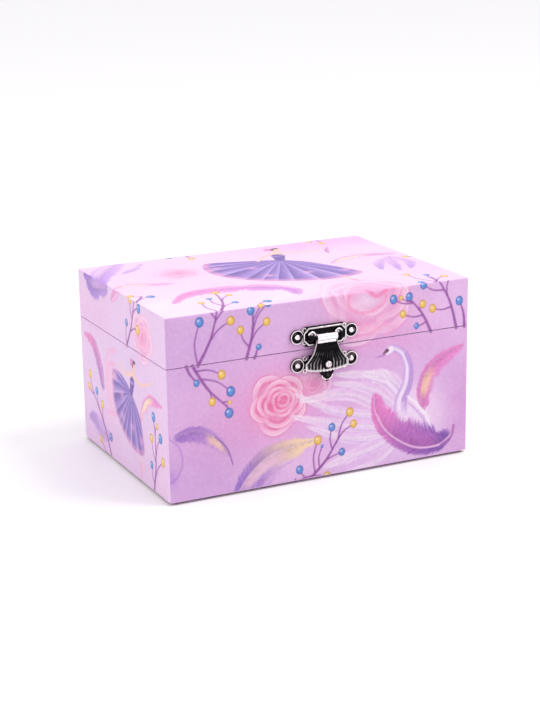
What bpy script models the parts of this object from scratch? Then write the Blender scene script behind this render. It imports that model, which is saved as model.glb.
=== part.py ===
"""A small paper-covered musical jewellery box with a ballerina that folds down under the lid.

The origin is the centre of the underside. +X is the right-hand side seen from the front,
the front faces -Y and +Z is up. Lengths are in metres, written as millimetres times MM.
"""

import math

import bmesh
import bpy
from mathutils import Matrix, Vector

MM = 0.001

# ---------------------------------------------------------------- the case
WIDTH, DEPTH, HEIGHT = 150 * MM, 106 * MM, 84 * MM
SEAM = 61.3 * MM  # the line between the box and its lid
GAP = 0.3 * MM  # left between pieces that touch
PAPER = 0.4 * MM  # the printed wrap
CORNER = 1.2 * MM  # the folded paper's outer corners
RIM_FOLD = 0.5 * MM  # the sharper folds along the seam
FLANGE = 4.3 * MM  # how far the wrap turns in over the rims
BOARD = 4.0 * MM  # the walls
FLOOR_BOARD = 3.5 * MM
LINING = 0.8 * MM  # velvet on card
FELT = 1.0 * MM
FELT_INSET = 2.0 * MM

BOARD_X, BOARD_Y = WIDTH / 2 - PAPER - GAP, DEPTH / 2 - PAPER - GAP
INNER_X, INNER_Y = BOARD_X - BOARD, BOARD_Y - BOARD
LINING_X, LINING_Y = INNER_X - GAP, INNER_Y - GAP
WELL_X, WELL_Y = LINING_X - LINING, LINING_Y - LINING

WALL_FOOT = FELT + GAP
BODY_TOP = SEAM - GAP / 2
WALL_TOP = BODY_TOP - PAPER - GAP
FLOOR_TOP = WALL_FOOT + FLOOR_BOARD
LID_FOOT = SEAM + GAP / 2
LID_WALL_FOOT = LID_FOOT + PAPER + GAP
LID_BOARD_TOP = HEIGHT - PAPER - GAP
LID_BOARD_FOOT = LID_BOARD_TOP - 3.6 * MM
LID_WALL_TOP = LID_BOARD_FOOT - GAP
LID_LINING_TOP = LID_WALL_TOP
LID_LINING_FACE = LID_LINING_TOP - 1.5 * MM
MIRROR_X, MIRROR_Y = 52 * MM, 33 * MM  # half its sides

# ---------------------------------------------------------------- the inside
STAGE_TOP = 45 * MM  # the cover over the movement, which the dancer stands on
STAGE_BOARD = 2.5 * MM
STAGE_FRONT = 10 * MM
DIVIDER_X = -10 * MM
DIVIDER_TOP = 44 * MM
CUSHION_TOP = 49 * MM

# ---------------------------------------------------------------- the hinges and the clasp
HINGE_X = 45 * MM
HINGE_AXIS_Y = DEPTH / 2 + 1.5 * MM
HINGE_WIDTH = 16 * MM
LEAF = 0.6 * MM
LEAF_HEIGHT = 10 * MM
KNUCKLE, KNUCKLE_BORE, HINGE_PIN = 1.25 * MM, 0.8 * MM, 0.6 * MM
NAIL_HEAD, NAIL_SHANK, NAIL_HOLE = 1.25 * MM, 0.5 * MM, 0.85 * MM

CLASP_Z = 66.8 * MM  # the bar that the clasp's flap hangs on
CLASP_Y = -DEPTH / 2 - 3.0 * MM
CLASP_PLATE = 0.7 * MM
EAR_X = 13.3 * MM
EAR = 3.2 * MM
UPPER_EAR_Z, LOWER_EAR_Z = 67.6 * MM, 54.7 * MM
CLASP_LOW, CLASP_HIGH = 62.6 * MM, 71.6 * MM
CATCH_LOW, CATCH_HIGH = 51.8 * MM, 58.4 * MM
LUG_X, LUG_HALF, RING = 7.7 * MM, 0.9 * MM, 1.5 * MM  # the rings that hold the bar's ends
KNUCKLE_OUT, KNUCKLE_IN = 1.7 * MM, 1.1 * MM  # the flap's rolled edge round the bar
KNOB_HOLE = 2.1 * MM
FLAP_LEAF = 0.8 * MM
FLAP_NECK, FLAP_FAN = 5.0 * MM, 10.4 * MM  # half their widths
FLAP_FOOT = 47.5 * MM

# ---------------------------------------------------------------- the musical movement
MOVE_Z = 22 * MM  # height of the barrel's and the cylinder's axes
BEDPLATE_FACE = LINING_Y - 1.7 * MM
CROWN_TEETH, PINION_TEETH = 36, 12
CROWN_RADIUS = 10.75 * MM
PINION_RADIUS = CROWN_RADIUS * PINION_TEETH / CROWN_TEETH
CROWN_FACE = 36.5 * MM
CROWN_TOOTH = 0.9 * MM
TRAIN_Y = CROWN_FACE - CROWN_TOOTH / 2 - PINION_RADIUS  # the cylinder's and the spindle's axes
MODULE = 0.4 * MM
SPUR_TEETH, GOVERNOR_PINION_TEETH = 30, 10
GOVERNOR_TEETH, FAN_PINION_TEETH = 24, 8
GOVERNOR_REACH = MODULE * (SPUR_TEETH + GOVERNOR_PINION_TEETH) / 2
FAN_REACH = MODULE * (GOVERNOR_TEETH + FAN_PINION_TEETH) / 2
GOVERNOR_ANGLE, FAN_ANGLE = math.radians(60), math.radians(30)
GOVERNOR_Y = TRAIN_Y + GOVERNOR_REACH * math.cos(GOVERNOR_ANGLE)
GOVERNOR_Z = MOVE_Z + GOVERNOR_REACH * math.sin(GOVERNOR_ANGLE)
FAN_Y = GOVERNOR_Y + FAN_REACH * math.cos(FAN_ANGLE)
FAN_Z = GOVERNOR_Z + FAN_REACH * math.sin(FAN_ANGLE)
FAN_VANE = 3.7 * MM
FAN_HUB = 1.2 * MM
CYLINDER = 6.5 * MM
CYLINDER_START, CYLINDER_END = 14.3 * MM, 29.8 * MM
SPUR_START, SPUR_END = 30.2 * MM, 31.4 * MM
CHEEK_START, CHEEK_END = 31.9 * MM, 32.7 * MM
WHEEL_START, WHEEL_END = 33.1 * MM, 34.1 * MM
VANE_START, VANE_END = 34.9 * MM, 38.7 * MM
HUB_END = 40.7 * MM
FAR_CHEEK_START, FAR_CHEEK_END = 41.3 * MM, 42.1 * MM
ARBOR = 0.5 * MM
COMB_NOTES = 18
COMB_FOOT, COMB_ROOT, COMB_TIP = 6.6 * MM, 10.8 * MM, MOVE_Z - CYLINDER - 0.5 * MM
COMB_SCREW_Z = 8.7 * MM
COMB_SCREWS_X = (17.8 * MM, 26.3 * MM)
MOVEMENT_SCREWS = ((-8.0 * MM, 9.2 * MM), (-8.0 * MM, 36.0 * MM), (38.5 * MM, 15.0 * MM))
SHAFT = 1.2 * MM
WINDING_ARBOR, WINDING_HOLE = 1.5 * MM, 2.0 * MM
KEY_START, KEY_NECK, KEY_END = 53.8 * MM, 61.5 * MM, 71.5 * MM

# ---------------------------------------------------------------- the dancer
FOLD = math.radians(62)  # how far she leans forward under the closed lid
PIVOT = Vector((0, TRAIN_Y, 52 * MM))  # the middle of her spring
SPRING_ARM = 4.4 * MM  # from the pivot to each end of the spring
SPRING_RADIUS, SPRING_WIRE, SPRING_TURNS = 2.4 * MM, 0.3 * MM, 6
TURNTABLE, TURNTABLE_TOP = 6.5 * MM, 46.7 * MM

# ---------------------------------------------------------------- the stop wire and the lid stay
WIRE = 0.7 * MM
WIRE_X = (VANE_END + HUB_END) / 2
WIRE_TOP = LID_LINING_FACE - 0.4 * MM
LID_ANGLE = math.radians(100)
RIBBON_X, RIBBON_WIDTH, RIBBON = 64.5 * MM, 6 * MM, 0.5 * MM
RIBBON_FOOT_Y, RIBBON_HEAD_Y = 30 * MM, 10 * MM

X, Y, Z = Vector((1, 0, 0)), Vector((0, 1, 0)), Vector((0, 0, 1))


# ---------------------------------------------------------------- tools
def new_collection(name):
    group = bpy.data.collections.new(name)
    bpy.context.scene.collection.children.link(group)
    return group


for old in list(bpy.data.objects):
    bpy.data.objects.remove(old, do_unlink=True)
PARTS = new_collection("ballerina_jewellery_box")
CUTTERS = new_collection("cutters")


def add(name, data, place=None):
    """Puts a mesh or a curve in the scene, at a matrix."""
    obj = bpy.data.objects.new(name, data)
    obj.matrix_world = place or Matrix.Identity(4)
    PARTS.objects.link(obj)
    return obj


def helper(obj):
    """Makes an object a cutter or a piece of another, which isn't a part of its own."""
    PARTS.objects.unlink(obj)
    CUTTERS.objects.link(obj)
    obj.hide_render = True
    obj.display_type = "WIRE"
    return obj


def paint(obj, colour, roughness, metallic=0.0):
    """Gives a part its own material."""
    finish = bpy.data.materials.new(obj.name)
    finish.use_nodes = True
    shader = finish.node_tree.nodes["Principled BSDF"]
    shader.inputs["Base Color"].default_value = (*colour, 1)
    shader.inputs["Roughness"].default_value = roughness
    shader.inputs["Metallic"].default_value = metallic
    obj.data.materials.clear()
    obj.data.materials.append(finish)
    return obj


def along(direction, point, up=None):
    """A matrix that turns local Z to a direction, and moves the origin to a point."""
    turn = Vector(direction).to_track_quat("Z", "Y").to_matrix().to_4x4()
    if up is not None:
        z = Vector(direction).normalized()
        y = Vector(up).normalized()
        turn = Matrix((y.cross(z), y, z)).transposed().to_4x4()
    return Matrix.Translation(point) @ turn


def block(name, low, high, round_by=0.0, segments=2):
    """A box between two opposite corners, its edges rounded by a Bevel."""
    low, high = Vector(low), Vector(high)
    shape = bmesh.new()
    bmesh.ops.create_cube(shape, size=1)
    bmesh.ops.scale(shape, vec=high - low, verts=shape.verts)
    mesh = bpy.data.meshes.new(name)
    shape.to_mesh(mesh)
    shape.free()
    obj = add(name, mesh, Matrix.Translation((low + high) / 2))
    if round_by:
        bevel = obj.modifiers.new("Bevel", "BEVEL")
        bevel.width = round_by
        bevel.segments = segments
    return obj


def rod(name, start, end, radius, sides=16):
    """A round bar between two points."""
    start, end = Vector(start), Vector(end)
    shape = bmesh.new()
    bmesh.ops.create_cone(
        shape,
        cap_ends=True,
        segments=sides,
        radius1=radius,
        radius2=radius,
        depth=(end - start).length,
    )
    mesh = bpy.data.meshes.new(name)
    shape.to_mesh(mesh)
    shape.free()
    return add(name, mesh, along(end - start, (start + end) / 2))


def ball(name, centre, radius, rings=8, sides=12):
    shape = bmesh.new()
    bmesh.ops.create_uvsphere(shape, u_segments=sides, v_segments=rings, radius=radius)
    mesh = bpy.data.meshes.new(name)
    shape.to_mesh(mesh)
    shape.free()
    return add(name, mesh, Matrix.Translation(centre))


def turned(name, profile, place, sides=16, closed=False):
    """A profile of (radius, height) turned round local Z. It runs down its outer side, top to bottom."""
    mesh = bpy.data.meshes.new(name)
    count = len(profile)
    edges = [(i, i + 1) for i in range(count - 1)]
    if closed:
        edges.append((count - 1, 0))
    mesh.from_pydata([(radius, 0, height) for radius, height in profile], edges, [])
    obj = add(name, mesh, place)
    screw = obj.modifiers.new("Screw", "SCREW")
    screw.steps = sides
    screw.render_steps = sides
    screw.use_merge_vertices = True
    screw.merge_threshold = 0.00001
    screw.use_smooth_shade = False
    return obj


def sweep(name, points, thickness, place=None, resolution=2):
    """A wire through points, as a mesh with welded ends."""
    curve = bpy.data.curves.new(name, "CURVE")
    curve.dimensions = "3D"
    curve.bevel_depth = thickness
    curve.bevel_resolution = resolution
    curve.use_fill_caps = True
    spline = curve.splines.new("POLY")
    spline.points.add(len(points) - 1)
    for point, where in zip(spline.points, points):
        point.co = (*where, 1)
    return meshed(add(name, curve, place))


def plate(name, outlines, thickness, place):
    """A flat piece cut to closed outlines in its own XY plane. An outline inside another is a hole."""
    curve = bpy.data.curves.new(name, "CURVE")
    curve.dimensions = "2D"
    curve.fill_mode = "BOTH"
    curve.extrude = thickness / 2
    for outline in outlines:
        spline = curve.splines.new("POLY")
        spline.points.add(len(outline) - 1)
        for point, (x, y) in zip(spline.points, outline):
            point.co = (x, y, 0, 1)
        spline.use_cyclic_u = True
    return meshed(add(name, curve, place))


def meshed(obj):
    """The same piece as a mesh, which a Boolean can use."""
    bpy.context.view_layer.update()
    graph = bpy.context.evaluated_depsgraph_get()
    mesh = bpy.data.meshes.new_from_object(obj.evaluated_get(graph))
    shape = bmesh.new()
    shape.from_mesh(mesh)
    bmesh.ops.remove_doubles(shape, verts=shape.verts, dist=0.000001)
    bmesh.ops.recalc_face_normals(shape, faces=shape.faces)
    shape.to_mesh(mesh)
    shape.free()
    name, place = obj.name, obj.matrix_world.copy()
    bpy.data.objects.remove(obj, do_unlink=True)
    return add(name, mesh, place)


def join(obj, *others):
    """Unites other shapes with a part."""
    for other in others:
        boolean(obj, helper(other), "UNION")
    return obj


def cut(obj, *cutters):
    """Takes shapes out of a part. A cutter may serve several parts."""
    for cutter in cutters:
        if cutter.name not in CUTTERS.objects:
            helper(cutter)
        boolean(obj, cutter, "DIFFERENCE")
    return obj


def boolean(obj, other, operation):
    modifier = obj.modifiers.new(other.name, "BOOLEAN")
    modifier.operation = operation
    modifier.object = other
    modifier.solver = "EXACT"


def circle(radius, sides, centre=(0, 0)):
    steps = (math.tau * i / sides for i in range(sides))
    return [(centre[0] + radius * math.cos(a), centre[1] + radius * math.sin(a)) for a in steps]


def gear_outline(teeth, root, tip, root_width, tip_width, phase=0.0):
    """A gear's outline, four points a tooth. Phase turns the first tooth from local X."""
    outline = []
    for tooth in range(teeth):
        middle = phase + math.tau * tooth / teeth
        half_root, half_tip = root_width / 2 / root, tip_width / 2 / tip
        for radius, angle in (
            (root, middle - half_root),
            (tip, middle - half_tip),
            (tip, middle + half_tip),
            (root, middle + half_root),
        ):
            outline.append((radius * math.cos(angle), radius * math.sin(angle)))
    return outline


def spur(name, teeth, place, thickness, phase=0.0):
    """A fine-toothed clock wheel or pinion."""
    radius = MODULE * teeth / 2
    outline = gear_outline(
        teeth, radius - 0.5 * MM, radius + 0.28 * MM, 0.55 * MM, 0.24 * MM, phase
    )
    return plate(name, [outline], thickness, place)


def crown_pinion(name, place, phase):
    """One of the two pinions that the barrel's crown wheel drives."""
    outline = gear_outline(
        PINION_TEETH,
        PINION_RADIUS - 0.65 * MM,
        PINION_RADIUS + 0.33 * MM,
        0.85 * MM,
        0.4 * MM,
        phase,
    )
    return plate(name, [outline], 2 * MM, place)


def nail(name, point, direction, length=3.6 * MM, head=NAIL_HEAD, shank=NAIL_SHANK, height=0.8 * MM):
    """A domed nail or screw. The point is under its head, which faces the direction."""
    profile = [
        (0, height),
        (head * 0.7, height * 0.75),
        (head, height * 0.15),
        (head, 0),
        (shank, 0),
        (shank, -length),
        (0, -length),
    ]
    return turned(name, profile, along(direction, point), 10)


# ---------------------------------------------------------------- the box
STEEL, BRASS, SILVER = (0.55, 0.55, 0.56), (0.78, 0.60, 0.30), (0.36, 0.34, 0.32)
WOOD, VELVET, PRINT = (0.72, 0.58, 0.42), (0.85, 0.42, 0.60), (0.83, 0.70, 0.82)
BACK_FACE = DEPTH / 2

winding_hole = helper(
    rod("winding_hole", (0, INNER_Y - 4 * MM, MOVE_Z), (0, DEPTH, MOVE_Z), 3 * MM)
)
screw_holes = [
    helper(rod(f"screw_hole_{i}", (x, INNER_Y - 4 * MM, z), (x, DEPTH, z), 1.5 * MM, 10))
    for i, (x, z) in enumerate(MOVEMENT_SCREWS)
]


def nail_places():
    """Every hinge and clasp nail: its name, where it enters the face, and which way its head looks."""
    places = []
    for side, x in (("left", -HINGE_X), ("right", HINGE_X)):
        for leaf, z in (("body", SEAM - 5.5 * MM), ("lid", SEAM + 5.5 * MM)):
            for number, offset in ((1, -5 * MM), (2, 5 * MM)):
                name = f"hinge_{side}_{leaf}_nail_{number}"
                places.append((name, Vector((x + offset, BACK_FACE, z)), Y))
    for leaf, z in (("catch", LOWER_EAR_Z), ("clasp", UPPER_EAR_Z)):
        for side, x in (("left", -EAR_X), ("right", EAR_X)):
            places.append((f"{leaf}_nail_{side}", Vector((x, -BACK_FACE, z)), -Y))
    return places


nail_holes = {
    name: helper(rod(name + "_hole", point - face * 6 * MM, point + face * 3 * MM, NAIL_HOLE, 8))
    for name, point, face in nail_places()
}


def holes_for(*words):
    """The nail holes whose names start with one of these words."""
    return [hole for name, hole in nail_holes.items() if name.startswith(words)]


BODY_HINGE_HOLES = holes_for("hinge_left_body", "hinge_right_body")
LID_HINGE_HOLES = holes_for("hinge_left_lid", "hinge_right_lid")


def paper_wrap(name, low_z, high_z, open_at_top):
    """The printed paper: a sheet round the walls that turns in over the rim."""
    shape = bmesh.new()
    bmesh.ops.create_cube(shape, size=1)
    bmesh.ops.scale(shape, vec=(WIDTH, DEPTH, high_z - low_z), verts=shape.verts)
    ends = {round(face.normal.z): face for face in shape.faces if abs(face.normal.z) > 0.5}
    rim = ends[1 if open_at_top else -1]
    weights = shape.edges.layers.float.new("bevel_weight_edge")
    for edge in shape.edges:
        edge[weights] = 1.0
    for edge in rim.edges:
        edge[weights] = RIM_FOLD / CORNER
    bmesh.ops.inset_region(shape, faces=[rim], thickness=FLANGE)
    for edge in rim.edges:
        edge[weights] = 0.0
    for edge in {e for corner in rim.verts for e in corner.link_edges}:
        edge[weights] = 0.0
    unwanted = [rim] + ([ends[-1]] if open_at_top else [])
    bmesh.ops.delete(shape, geom=unwanted, context="FACES_ONLY")
    mesh = bpy.data.meshes.new(name)
    shape.to_mesh(mesh)
    shape.free()
    obj = add(name, mesh, Matrix.Translation((0, 0, (low_z + high_z) / 2)))
    bevel = obj.modifiers.new("Bevel", "BEVEL")
    bevel.limit_method = "WEIGHT"
    bevel.width = CORNER
    bevel.segments = 2
    skin = obj.modifiers.new("Solidify", "SOLIDIFY")
    skin.thickness = PAPER
    skin.offset = -1
    skin.use_even_offset = True
    return paint(obj, PRINT, 0.45)


def body_shell():
    wrap = paper_wrap("body_paper_wrap", WALL_FOOT, BODY_TOP, open_at_top=True)
    cut(wrap, winding_hole, *screw_holes, *BODY_HINGE_HOLES, *holes_for("catch"))
    across = BOARD_X - BOARD - GAP
    front = block("front_board", (-across, -BOARD_Y, WALL_FOOT), (across, -INNER_Y, WALL_TOP))
    back = block("back_board", (-across, INNER_Y, WALL_FOOT), (across, BOARD_Y, WALL_TOP))
    left = block("left_board", (-BOARD_X, -BOARD_Y, WALL_FOOT), (-INNER_X, BOARD_Y, WALL_TOP))
    right = block("right_board", (INNER_X, -BOARD_Y, WALL_FOOT), (BOARD_X, BOARD_Y, WALL_TOP))
    bottom = block(
        "bottom_board", (-LINING_X, -LINING_Y, WALL_FOOT), (LINING_X, LINING_Y, FLOOR_TOP)
    )
    cut(front, *holes_for("catch"))
    cut(back, winding_hole, *screw_holes, *BODY_HINGE_HOLES)
    for board in (front, back, left, right, bottom):
        paint(board, WOOD, 0.8)
    felt_x, felt_y = WIDTH / 2 - FELT_INSET, DEPTH / 2 - FELT_INSET
    felt = block("base_felt", (-felt_x, -felt_y, 0), (felt_x, felt_y, FELT))
    paint(felt, (0.30, 0.24, 0.30), 0.95)


def lid_shell():
    wrap = paper_wrap("lid_paper_wrap", LID_FOOT, HEIGHT, open_at_top=False)
    cut(wrap, *LID_HINGE_HOLES, *holes_for("clasp"))
    top = block(
        "lid_top_board",
        (-BOARD_X, -BOARD_Y, LID_BOARD_FOOT),
        (BOARD_X, BOARD_Y, LID_BOARD_TOP),
        0.5 * MM,
        1,
    )
    rim = block(
        "lid_rim_frame", (-BOARD_X, -BOARD_Y, LID_WALL_FOOT), (BOARD_X, BOARD_Y, LID_WALL_TOP)
    )
    opening = block("lid_rim_opening", (-INNER_X, -INNER_Y, SEAM), (INNER_X, INNER_Y, HEIGHT))
    cut(rim, opening, *LID_HINGE_HOLES, *holes_for("clasp"))
    lining = block(
        "lid_lining",
        (-LINING_X, -LINING_Y, LID_WALL_FOOT + GAP),
        (LINING_X, LINING_Y, LID_LINING_TOP),
    )
    hollow = block("lid_hollow", (-WELL_X, -WELL_Y, SEAM), (WELL_X, WELL_Y, LID_LINING_FACE))
    seat_x, seat_y = MIRROR_X + GAP, MIRROR_Y + GAP
    window = block("mirror_window", (-seat_x, -seat_y, SEAM), (seat_x, seat_y, HEIGHT))
    cut(lining, hollow, window)
    mirror = block(
        "lid_mirror",
        (-MIRROR_X, -MIRROR_Y, LID_LINING_FACE),
        (MIRROR_X, MIRROR_Y, LID_LINING_TOP),
        0.4 * MM,
        1,
    )
    paint(top, WOOD, 0.8)
    paint(rim, WOOD, 0.8)
    paint(lining, VELVET, 0.9)
    paint(mirror, (0.9, 0.92, 0.93), 0.03, 1.0)


def inside():
    """The velvet, the cover over the movement, and the tray in front of it."""
    lining = block("wall_lining", (-LINING_X, -LINING_Y, FLOOR_TOP + GAP), (LINING_X, LINING_Y, WALL_TOP))
    hollow = block("lining_hollow", (-WELL_X, -WELL_Y, 0), (WELL_X, WELL_Y, HEIGHT))
    behind = block(
        "lining_back_cut",
        (-WIDTH, STAGE_FRONT - GAP, 0),
        (WIDTH, DEPTH, STAGE_TOP + GAP),
    )
    cut(lining, hollow, behind)
    floor = block(
        "floor_lining",
        (-WELL_X + GAP, -WELL_Y + GAP, FLOOR_TOP + GAP),
        (WELL_X - GAP, STAGE_FRONT - GAP, FLOOR_TOP + GAP + LINING),
    )
    stage_foot = STAGE_TOP - STAGE_BOARD
    stage = block(
        "stage_board", (-LINING_X, STAGE_FRONT, stage_foot), (LINING_X, LINING_Y, STAGE_TOP)
    )
    spindle_hole = rod(
        "spindle_hole", (0, TRAIN_Y, stage_foot - MM), (0, TRAIN_Y, STAGE_TOP + MM), 2 * MM
    )
    wire_hole = rod(
        "wire_hole", (WIRE_X, FAN_Y, stage_foot - MM), (WIRE_X, FAN_Y, STAGE_TOP + MM), 1.1 * MM, 12
    )
    cut(stage, spindle_hole, wire_hole)
    front = block(
        "stage_front_board",
        (-LINING_X, STAGE_FRONT, FLOOR_TOP + GAP),
        (LINING_X, STAGE_FRONT + 2 * MM, stage_foot - GAP),
    )
    floor_face = FLOOR_TOP + GAP + LINING + GAP
    divider = block(
        "tray_divider",
        (DIVIDER_X - MM, -WELL_Y + GAP, floor_face),
        (DIVIDER_X + MM, STAGE_FRONT - GAP, DIVIDER_TOP),
        0.4 * MM,
        1,
    )
    cushion = block(
        "ring_cushion",
        (-WELL_X + GAP, -WELL_Y + GAP, floor_face),
        (DIVIDER_X - MM - GAP, STAGE_FRONT - GAP, CUSHION_TOP),
        3 * MM,
    )
    for piece in (lining, floor, stage, front, divider, cushion):
        paint(piece, VELVET, 0.9)


# ---------------------------------------------------------------- hinges and clasp
def hinge_leaf(name, x, up, knuckles):
    """A leaf flat on the back, with its knuckles on the pin. Up is 1 for the lid, -1 for the box."""
    y = DEPTH / 2 + GAP
    near, far = SEAM + up * 1.5 * MM, SEAM + up * LEAF_HEIGHT
    half = HINGE_WIDTH / 2
    leaf = block(
        name, (x - half, y, min(near, far)), (x + half, y + LEAF, max(near, far)), 0.2 * MM, 1
    )
    for number, (start, end) in enumerate(knuckles):
        tongue_end = SEAM + up * 2 * MM
        tongue = block(
            f"{name}_tongue_{number}",
            (x + start, y, min(SEAM, tongue_end)),
            (x + end, y + LEAF, max(SEAM, tongue_end)),
        )
        barrel = rod(
            f"{name}_knuckle_{number}",
            (x + start, HINGE_AXIS_Y, SEAM),
            (x + end, HINGE_AXIS_Y, SEAM),
            KNUCKLE,
        )
        join(leaf, tongue, barrel)
    bore = rod(
        f"{name}_bore",
        (x - half - MM, HINGE_AXIS_Y, SEAM),
        (x + half + MM, HINGE_AXIS_Y, SEAM),
        KNUCKLE_BORE,
    )
    return paint(cut(leaf, bore), BRASS, 0.35, 1.0)


def hinges():
    half, middle = HINGE_WIDTH / 2, 2.8 * MM
    for side, x in (("left", -HINGE_X), ("right", HINGE_X)):
        outer = ((-half, -middle - GAP), (middle + GAP, half))
        body = hinge_leaf(f"hinge_{side}_body_leaf", x, -1, outer)
        lid = hinge_leaf(f"hinge_{side}_lid_leaf", x, 1, ((-middle, middle),))
        cut(body, *holes_for(f"hinge_{side}_body"))
        cut(lid, *holes_for(f"hinge_{side}_lid"))
        pin = rod(
            f"hinge_{side}_pin",
            (x - half - GAP, HINGE_AXIS_Y, SEAM),
            (x + half + GAP, HINGE_AXIS_Y, SEAM),
            HINGE_PIN,
            12,
        )
        paint(pin, STEEL, 0.3, 1.0)


def eared_plate(name, half_width, centre_low, centre_high, ear_z):
    """A stamped plate with a nailed ear each side."""
    y = -DEPTH / 2 - GAP
    centre = block(name, (-half_width, y - CLASP_PLATE, centre_low), (half_width, y, centre_high))
    strip = block(
        name + "_strip",
        (-EAR_X, y - CLASP_PLATE, ear_z - 1.9 * MM),
        (EAR_X, y, ear_z + 1.9 * MM),
    )
    ears = [
        rod(f"{name}_ear_{side}", (x, y, ear_z), (x, y - CLASP_PLATE, ear_z), EAR)
        for side, x in (("left", -EAR_X), ("right", EAR_X))
    ]
    return join(centre, strip, *ears)


def clasp():
    face = -DEPTH / 2 - GAP - CLASP_PLATE
    plate_piece = eared_plate("clasp_plate", 9.4 * MM, CLASP_LOW, CLASP_HIGH, UPPER_EAR_Z)
    for side, x in (("left", -LUG_X), ("right", LUG_X)):
        start, end = x - LUG_HALF, x + LUG_HALF
        lug = block(
            f"clasp_lug_{side}",
            (start, CLASP_Y, CLASP_Z - 1.2 * MM),
            (end, face + 0.2 * MM, CLASP_Z + 1.2 * MM),
        )
        ring = rod(f"clasp_ring_{side}", (start, CLASP_Y, CLASP_Z), (end, CLASP_Y, CLASP_Z), RING)
        join(plate_piece, lug, ring)
    bar = rod("clasp_bar", (-8 * MM, CLASP_Y, CLASP_Z), (8 * MM, CLASP_Y, CLASP_Z), 0.8 * MM, 12)
    join(plate_piece, bar)
    cut(plate_piece, *holes_for("clasp"))

    catch = eared_plate("catch_plate", 7.4 * MM, CATCH_LOW, CATCH_HIGH, LOWER_EAR_Z)
    stem = rod("catch_stem", (0, face + 0.3 * MM, LOWER_EAR_Z), (0, -57.6 * MM, LOWER_EAR_Z), 0.9 * MM, 12)
    knob = ball("catch_knob", (0, -57.8 * MM, LOWER_EAR_Z), 1.6 * MM)
    join(catch, stem, knob)
    cut(catch, *holes_for("catch"))

    flap = turned(
        "clasp_flap",
        [
            (KNUCKLE_OUT, FLAP_NECK),
            (KNUCKLE_OUT, -FLAP_NECK),
            (KNUCKLE_IN, -FLAP_NECK),
            (KNUCKLE_IN, FLAP_NECK),
        ],
        along(X, (0, CLASP_Y, CLASP_Z)),
        16,
        closed=True,
    )
    leaf_place = along(-Y, (0, CLASP_Y - FLAP_LEAF / 2, 0), up=Z)
    join(flap, plate("flap_leaf", [flap_outline(), knob_hole()], FLAP_LEAF, leaf_place))
    for piece in (plate_piece, catch, flap):
        paint(piece, SILVER, 0.35, 1.0)


def flap_outline():
    """Neck, fan and finger tab, as a half that is mirrored."""
    fan_z, fan_low = LOWER_EAR_Z + MM, 51.5 * MM
    half = [(FLAP_NECK, CLASP_Z - 1.4 * MM), (FLAP_NECK, 62 * MM)]
    for step in range(7):
        angle = math.radians(75 - 25 * step)
        spread = max(0.0, math.cos(angle))
        half.append((FLAP_NECK + (FLAP_FAN - FLAP_NECK) * spread, fan_z + 3.8 * MM * math.sin(angle)))
    half.append((2.6 * MM, fan_low - 1.2 * MM))
    for step in range(4):
        angle = math.radians(-30 * step)
        half.append((2.6 * MM * math.cos(angle), FLAP_FOOT + 2 * MM + 2 * MM * math.sin(angle)))
    mirrored = [(-x, z) for x, z in reversed(half) if x > 0.01 * MM]
    return half + mirrored


def knob_hole():
    return circle(KNOB_HOLE, 16, (0, LOWER_EAR_Z))


def nails():
    standing = {"hinge": LEAF + 2 * GAP, "catch": CLASP_PLATE + 2 * GAP, "clasp": CLASP_PLATE + 2 * GAP}
    for name, point, face in nail_places():
        piece = nail(name, point + face * standing[name.split("_")[0]], face, 4.4 * MM)
        if name.startswith("hinge"):
            paint(piece, BRASS, 0.3, 1.0)
        else:
            paint(piece, (0.75, 0.74, 0.72), 0.25, 1.0)


# ---------------------------------------------------------------- the movement
def bedplate():
    back = LINING_Y
    bed = block("bedplate", (-11.5 * MM, BEDPLATE_FACE, 6.3 * MM), (43 * MM, back, 39.3 * MM))
    pedestal = block(
        "comb_pedestal",
        (CYLINDER_START, TRAIN_Y + 0.8 * MM, COMB_FOOT),
        (CYLINDER_END, BEDPLATE_FACE + MM, COMB_ROOT),
    )
    post = block(
        "cylinder_post",
        (12.2 * MM, TRAIN_Y - 2.5 * MM, MOVE_Z - 2.5 * MM),
        (13.9 * MM, BEDPLATE_FACE + MM, MOVE_Z + 2.5 * MM),
    )
    arm = block(
        "spindle_arm",
        (-3 * MM, TRAIN_Y - 3 * MM, 35.5 * MM),
        (3 * MM, BEDPLATE_FACE + MM, 37 * MM),
    )
    join(bed, pedestal, post, arm)
    bores = [
        rod("arbor_bore", (0, BEDPLATE_FACE - MM, MOVE_Z), (0, back + MM, MOVE_Z), WINDING_HOLE),
        rod("cylinder_bore", (11 * MM, TRAIN_Y, MOVE_Z), (15 * MM, TRAIN_Y, MOVE_Z), 1.3 * MM),
        rod("spindle_bore", (0, TRAIN_Y, 34.5 * MM), (0, TRAIN_Y, 38 * MM), SHAFT + GAP),
    ]
    for i, x in enumerate(COMB_SCREWS_X):
        start, end = (x, TRAIN_Y, COMB_SCREW_Z), (x, TRAIN_Y + 5.5 * MM, COMB_SCREW_Z)
        bores.append(rod(f"comb_thread_{i}", start, end, 1.2 * MM, 10))
    for i, (x, z) in enumerate(MOVEMENT_SCREWS):
        start, end = (x, BEDPLATE_FACE - MM, z), (x, back + MM, z)
        bores.append(rod(f"bed_thread_{i}", start, end, 1.2 * MM, 10))
    cut(bed, *bores)
    paint(bed, (0.62, 0.60, 0.55), 0.4, 1.0)


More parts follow.
